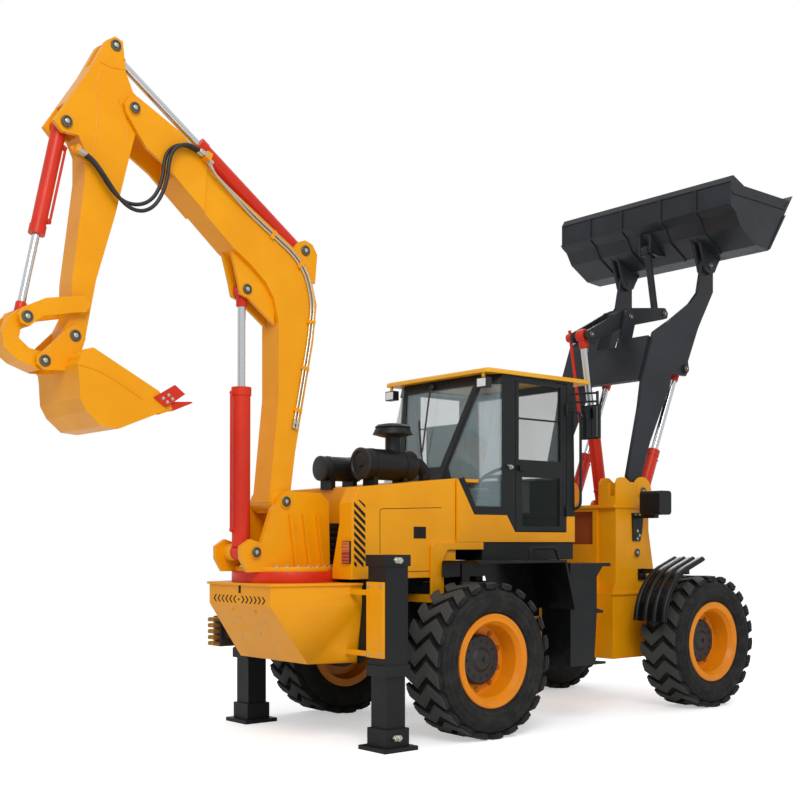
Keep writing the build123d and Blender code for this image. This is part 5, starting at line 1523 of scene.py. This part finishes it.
@dataclass
class OperatorSeat:
    """Seat of the cab: pan, crowned cushion and backrest, in the space of its solid."""

    rows: int = 18
    waist: float = 0.045
    rim_pinch: float = 0.03
    rim_drop: float = 0.42
    channel_mm: float = 7.0
    channel_at: float = 0.55
    channel_half: float = 0.05

    def bend(self, spot: Vector, size_mm: Point, crown_mm: float) -> Vector:
        """Place on the pad of a point of the cube from -1 to 1, in millimetres.

        Args:
            spot: the point of the cube.
            size_mm: the pad's size before it leans.
            crown_mm: rise of its middle over its edge.

        Returns:
            The place, from the pad's middle.
        """
        u, v, w = spot
        round_u, round_v = 1 - u * u, 1 - v * v
        rim = round_u * (abs(v) > 0.99) + round_v * (abs(u) > 0.99)
        pinch = 1 - self.waist * (1 - abs(w)) - self.rim_pinch * abs(w) * rim
        thick = w * (1 - self.rim_drop * max(abs(u), abs(v)) ** 6) * size_mm[2] / 2
        if w > 0:
            thick += crown_mm * round_u * round_v
            across = (abs(v) - self.channel_at) / self.channel_half
            thick -= self.channel_mm * math.exp(-(across**2)) * round_u
        return Vector((u * pinch * size_mm[0] / 2, v * pinch * size_mm[1] / 2, thick))

    def cushion(
        self, name: str, middle_mm: Point, size_mm: Point, lean_deg: float, crown_mm: float
    ) -> Piece:
        """Crowned pad whose sides pull in between its corners, with two sewn channels.

        Args:
            name: name of the piece.
            middle_mm: its middle, in drawing millimetres.
            size_mm: its size before it leans.
            lean_deg: turn about the Y axis, backwards.
            crown_mm: rise of its middle over its edge.

        Returns:
            The pad.
        """
        form = bmesh.new()
        bmesh.ops.create_cube(form, size=2)
        bmesh.ops.subdivide_edges(form, edges=form.edges[:], cuts=self.rows, use_grid_fill=True)
        turn = Matrix.Rotation(math.radians(lean_deg), 3, "Y")
        for vert in form.verts:
            vert.co = site(*(Vector(middle_mm) + turn @ self.bend(vert.co, size_mm, crown_mm)))
        for face in form.faces:
            face.smooth = True
        piece = mesh_piece(name, form, Coat.VINYL)
        piece.modifiers.new("soft_shape", "SUBSURF").render_levels = 1
        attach(piece, "rear_machine")
        return piece

    def build(self) -> None:
        """Set the pan, the cushion and the backrest, which stand for the plain solid."""
        pan = Form()
        pan.block((700, 960), (-180, 180), (1575, 1780))
        pan.block((500, 1010), (-226, 226), (1780, 1812))
        back = ((452, 1830), (500, 1800), (540, 1806), (478, 2430), (446, 2430))
        pan.side_plate(back, -214, 214)
        frame_piece = pan.finish("seat_pan", Coat.PLASTIC, REAR, 8)
        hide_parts("seat")
        self.cushion("seat_cushion", (772, 0, 1856), (470, 466, 92), -1.0, 16)
        self.cushion("seat_backrest", (528, 0, 2160), (500, 440, 84), -84.0, 14)


@dataclass
class CabinTrim:
    """Levers on the control stand and the dashboard under the windscreen."""

    levers: tuple = ((760, -420), (820, -380), (880, -360), (930, -400))
    knob: tuple = ((10, 0), (19, 14), (22, 28), (17, 42), (0, 48))
    board: tuple = (
        (1300, 1500), (1345, 1500), (1345, 1985), (1290, 2010), (1250, 1985), (1290, 1900)
    )

    def build(self) -> None:
        """Set the board and turn the levers with their knobs."""
        shafts, knobs = Form(), Form()
        for x, y in self.levers:
            shafts.tube([(x, y, 1950), (x + 6, y, 2040), (x + 22, y, 2110)], 6, 30, 8)
            knobs.turned((x + 22, y, 2100), (0.15, 0, 1), self.knob, 16)
        board = Form().side_plate(self.board, -560, 560)
        board.finish("dashboard", Coat.PLASTIC, REAR, 12)
        shafts.finish("lever_shafts", Coat.ZINC, REAR)
        knobs.finish("lever_knobs", Coat.PLASTIC, REAR)


@dataclass
class Studio:
    """Pale floor, soft lamps and the camera of the photograph."""

    lens_px: float = 1189.8
    frame_px: float = 800.0
    horizon_px: float = 542.9
    heading_deg: float = 50.06
    camera_mm: tuple = (-6175.0, -7353.0, 1453.0)
    floor_m: float = 60.0
    sensor_mm: float = 36.0
    aim_height_m: float = 1.8

    def aim_camera(self) -> None:
        """Level camera at the photograph's place; the frame is lifted by its shift."""
        lens = bpy.data.cameras.new("camera")
        lens.sensor_width = self.sensor_mm
        lens.lens = self.lens_px * self.sensor_mm / self.frame_px
        lens.shift_y = (self.horizon_px - self.frame_px / 2) / self.frame_px
        lens.clip_end = 500
        camera = link_piece("camera", lens)
        camera.location = site(*self.camera_mm)
        camera.rotation_euler = (math.pi / 2, 0, math.radians(self.heading_deg - 90))
        bpy.context.scene.camera = camera

    def hang_lamp(self, name: str, place: Point, watts: float, size: float) -> None:
        """One square soft lamp, in metres, turned to the middle of the machine."""
        lamp = bpy.data.lights.new(name, "AREA")
        lamp.energy = watts
        lamp.size = size
        holder = link_piece(name, lamp)
        holder.location = place
        aim = Vector((0, 0, self.aim_height_m)) - Vector(place)
        holder.rotation_euler = aim.to_track_quat("-Z", "Y").to_euler()

    def lay_floor(self) -> None:
        """White floor that shows almost white to the camera and keeps the shadow."""
        half = self.floor_m / 2
        mesh = bpy.data.meshes.new("floor")
        mesh.from_pydata([Vector((u * half, v * half, 0)) for u, v in SQUARE], [], [(0, 1, 2, 3)])
        floor = link_piece("floor", mesh)
        made = bpy.data.materials.new("floor_painted_white")
        made.use_nodes = True
        tree = made.node_tree
        tree.nodes.clear()
        ray = add_node(tree, "ShaderNodeLightPath")
        matt = add_node(tree, "ShaderNodeBsdfDiffuse", {"Color": linear("#F4F4F4")})
        glow = add_node(tree, "ShaderNodeEmission", {"Color": (1, 1, 1, 1), "Strength": 0.45})
        both = add_node(tree, "ShaderNodeAddShader", {}, {0: matt.outputs[0], 1: glow.outputs[0]})
        seen = add_node(
            tree, "ShaderNodeMixShader", {},
            {0: ray.outputs["Is Camera Ray"], 1: matt.outputs[0], 2: both.outputs[0]},
        )
        add_node(tree, "ShaderNodeOutputMaterial", {}, {"Surface": seen.outputs[0]})
        mesh.materials.append(made)

    def light_world(self) -> None:
        """Even pale sky; white where the camera or glass see it, half so for reflections."""
        world = bpy.data.worlds.new("studio")
        bpy.context.scene.world = world
        world.use_nodes = True
        tree = world.node_tree
        tree.nodes.clear()
        ray = add_node(tree, "ShaderNodeLightPath").outputs
        place = add_node(tree, "ShaderNodeTexCoord")
        up = add_node(tree, "ShaderNodeSeparateXYZ", {}, {"Vector": place.outputs["Generated"]})
        height = add_node(
            tree, "ShaderNodeMapRange",
            {"From Min": -0.4, "From Max": 0.9, "To Min": 0.25, "To Max": 0.80},
            {"Value": up.outputs["Z"]},
        )
        sky = add_node(
            tree, "ShaderNodeBackground", {"Color": linear("#F4F7FA")},
            {"Strength": height.outputs["Result"]},
        )
        white = add_node(tree, "ShaderNodeBackground", {"Color": (1, 1, 1, 1), "Strength": 1.0})
        pale = maths(tree, "MAXIMUM", ray["Is Camera Ray"], ray["Is Transmission Ray"])
        seen = maths(tree, "MAXIMUM", pale, maths(tree, "MULTIPLY", ray["Is Glossy Ray"], 0.5))
        mix = add_node(
            tree, "ShaderNodeMixShader", {}, {0: seen, 1: sky.outputs[0], 2: white.outputs[0]}
        )
        add_node(tree, "ShaderNodeOutputWorld", {}, {"Surface": mix.outputs[0]})

    def build(self) -> None:
        """Set the stage."""
        self.aim_camera()
        self.lay_floor()
        self.light_world()
        self.hang_lamp("key_lamp", (-7, -9, 10), 820, 6)
        self.hang_lamp("fill_lamp", (9, 5, 7), 300, 6)
        bpy.context.scene.view_settings.view_transform = "Standard"


@dataclass
class CarriedSolids:
    """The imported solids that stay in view, by their coat and by the rounding of their edges."""

    coats: tuple = (
        (Coat.YELLOW, "hood base_box slew_bracket boom stick rocker dig_link dig_bucket"
         " front_frame tower_columns cab_sill hood_arches"),
        (Coat.ROOF, "cab_roof"),
        (Coat.RED, "slew_ring lift_barrels tilt_barrel boom_barrel stick_barrel bucket_barrel"),
        (Coat.GREY, "loader_arms bell_crank bucket_link loader_bucket"),
        (Coat.BLACK, "cab_frame door_right door_left chassis stabiliser_housings headlights"
         " radiator_grille air_cleaner stabiliser_leg_right stabiliser_leg_left engine_block"),
        (Coat.FENDER, "rear_fenders front_fenders"),
        (Coat.CHROME, "lift_rods tilt_rod boom_rod stick_rod bucket_rod"),
        (Coat.RIM, "rim_rear_right rim_rear_left rim_front_right rim_front_left"),
        (Coat.TYRE, "tyre_rear_right tyre_rear_left tyre_front_right tyre_front_left"),
        (Coat.GLASS, "door_right_glass door_left_glass"),
        (Coat.SKY_PAINTED_GLASS, "cab_glass"),
        (Coat.VINYL, "seat"),
        (Coat.HOSE, "hose_upper hose_lower"),
        (Coat.PLASTIC, "controls work_lamps"),
        (Coat.CAST, "rear_axle front_axle valve_block"),
    )
    rounds: tuple = (
        (8.0, "boom stick slew_bracket loader_arms tower_columns front_frame base_box"),
        (5.0, "hood hood_arches rocker dig_link dig_bucket bell_crank bucket_link cab_sill"
         " stabiliser_housings loader_bucket slew_ring chassis"),
        (4.0, "cab_frame door_right door_left radiator_grille headlights air_cleaner"),
    )
    weld_mm: float = 0.05
    flat_deg: float = 1.0

    def soften(self, piece: Piece, radius_mm: float) -> None:
        """Weld a solid's facets, join those that lie flat, and round its sharp edges."""
        weld = piece.modifiers.new("weld", "WELD")
        weld.merge_threshold = self.weld_mm * MM
        flat = piece.modifiers.new("flat_faces", "DECIMATE")
        flat.decimate_type = "DISSOLVE"
        flat.angle_limit = math.radians(self.flat_deg)
        round_off(piece, radius_mm)

    def build(self) -> None:
        """Paint every solid that stays and soften pressed and welded plate."""
        for coat, names in self.coats:
            SHOP.paint(names.split(), coat)
            log.info("painted %s with %s", names, coat.value.name)
        for radius_mm, names in self.rounds:
            for name in names.split():
                self.soften(NODES[name], radius_mm)


def main() -> None:
    """Build the machine's looks in order."""
    logging.basicConfig(level=logging.INFO, format="%(message)s")
    for part in (
        Studio(), *HOSES, PinEnds(), RodEnds(), BoomPipes(), CylinderPipes(), ScoopEdges(),
        HoodTrim(), CleanerTrim(), BaseTrim(), CabTrim(), LoaderTrim(), WheelTrim(), HubTrim(),
        OperatorSeat(), CabinTrim(), CarriedSolids(),
    ):
        part.build()


if __name__ == "__main__":
    main()
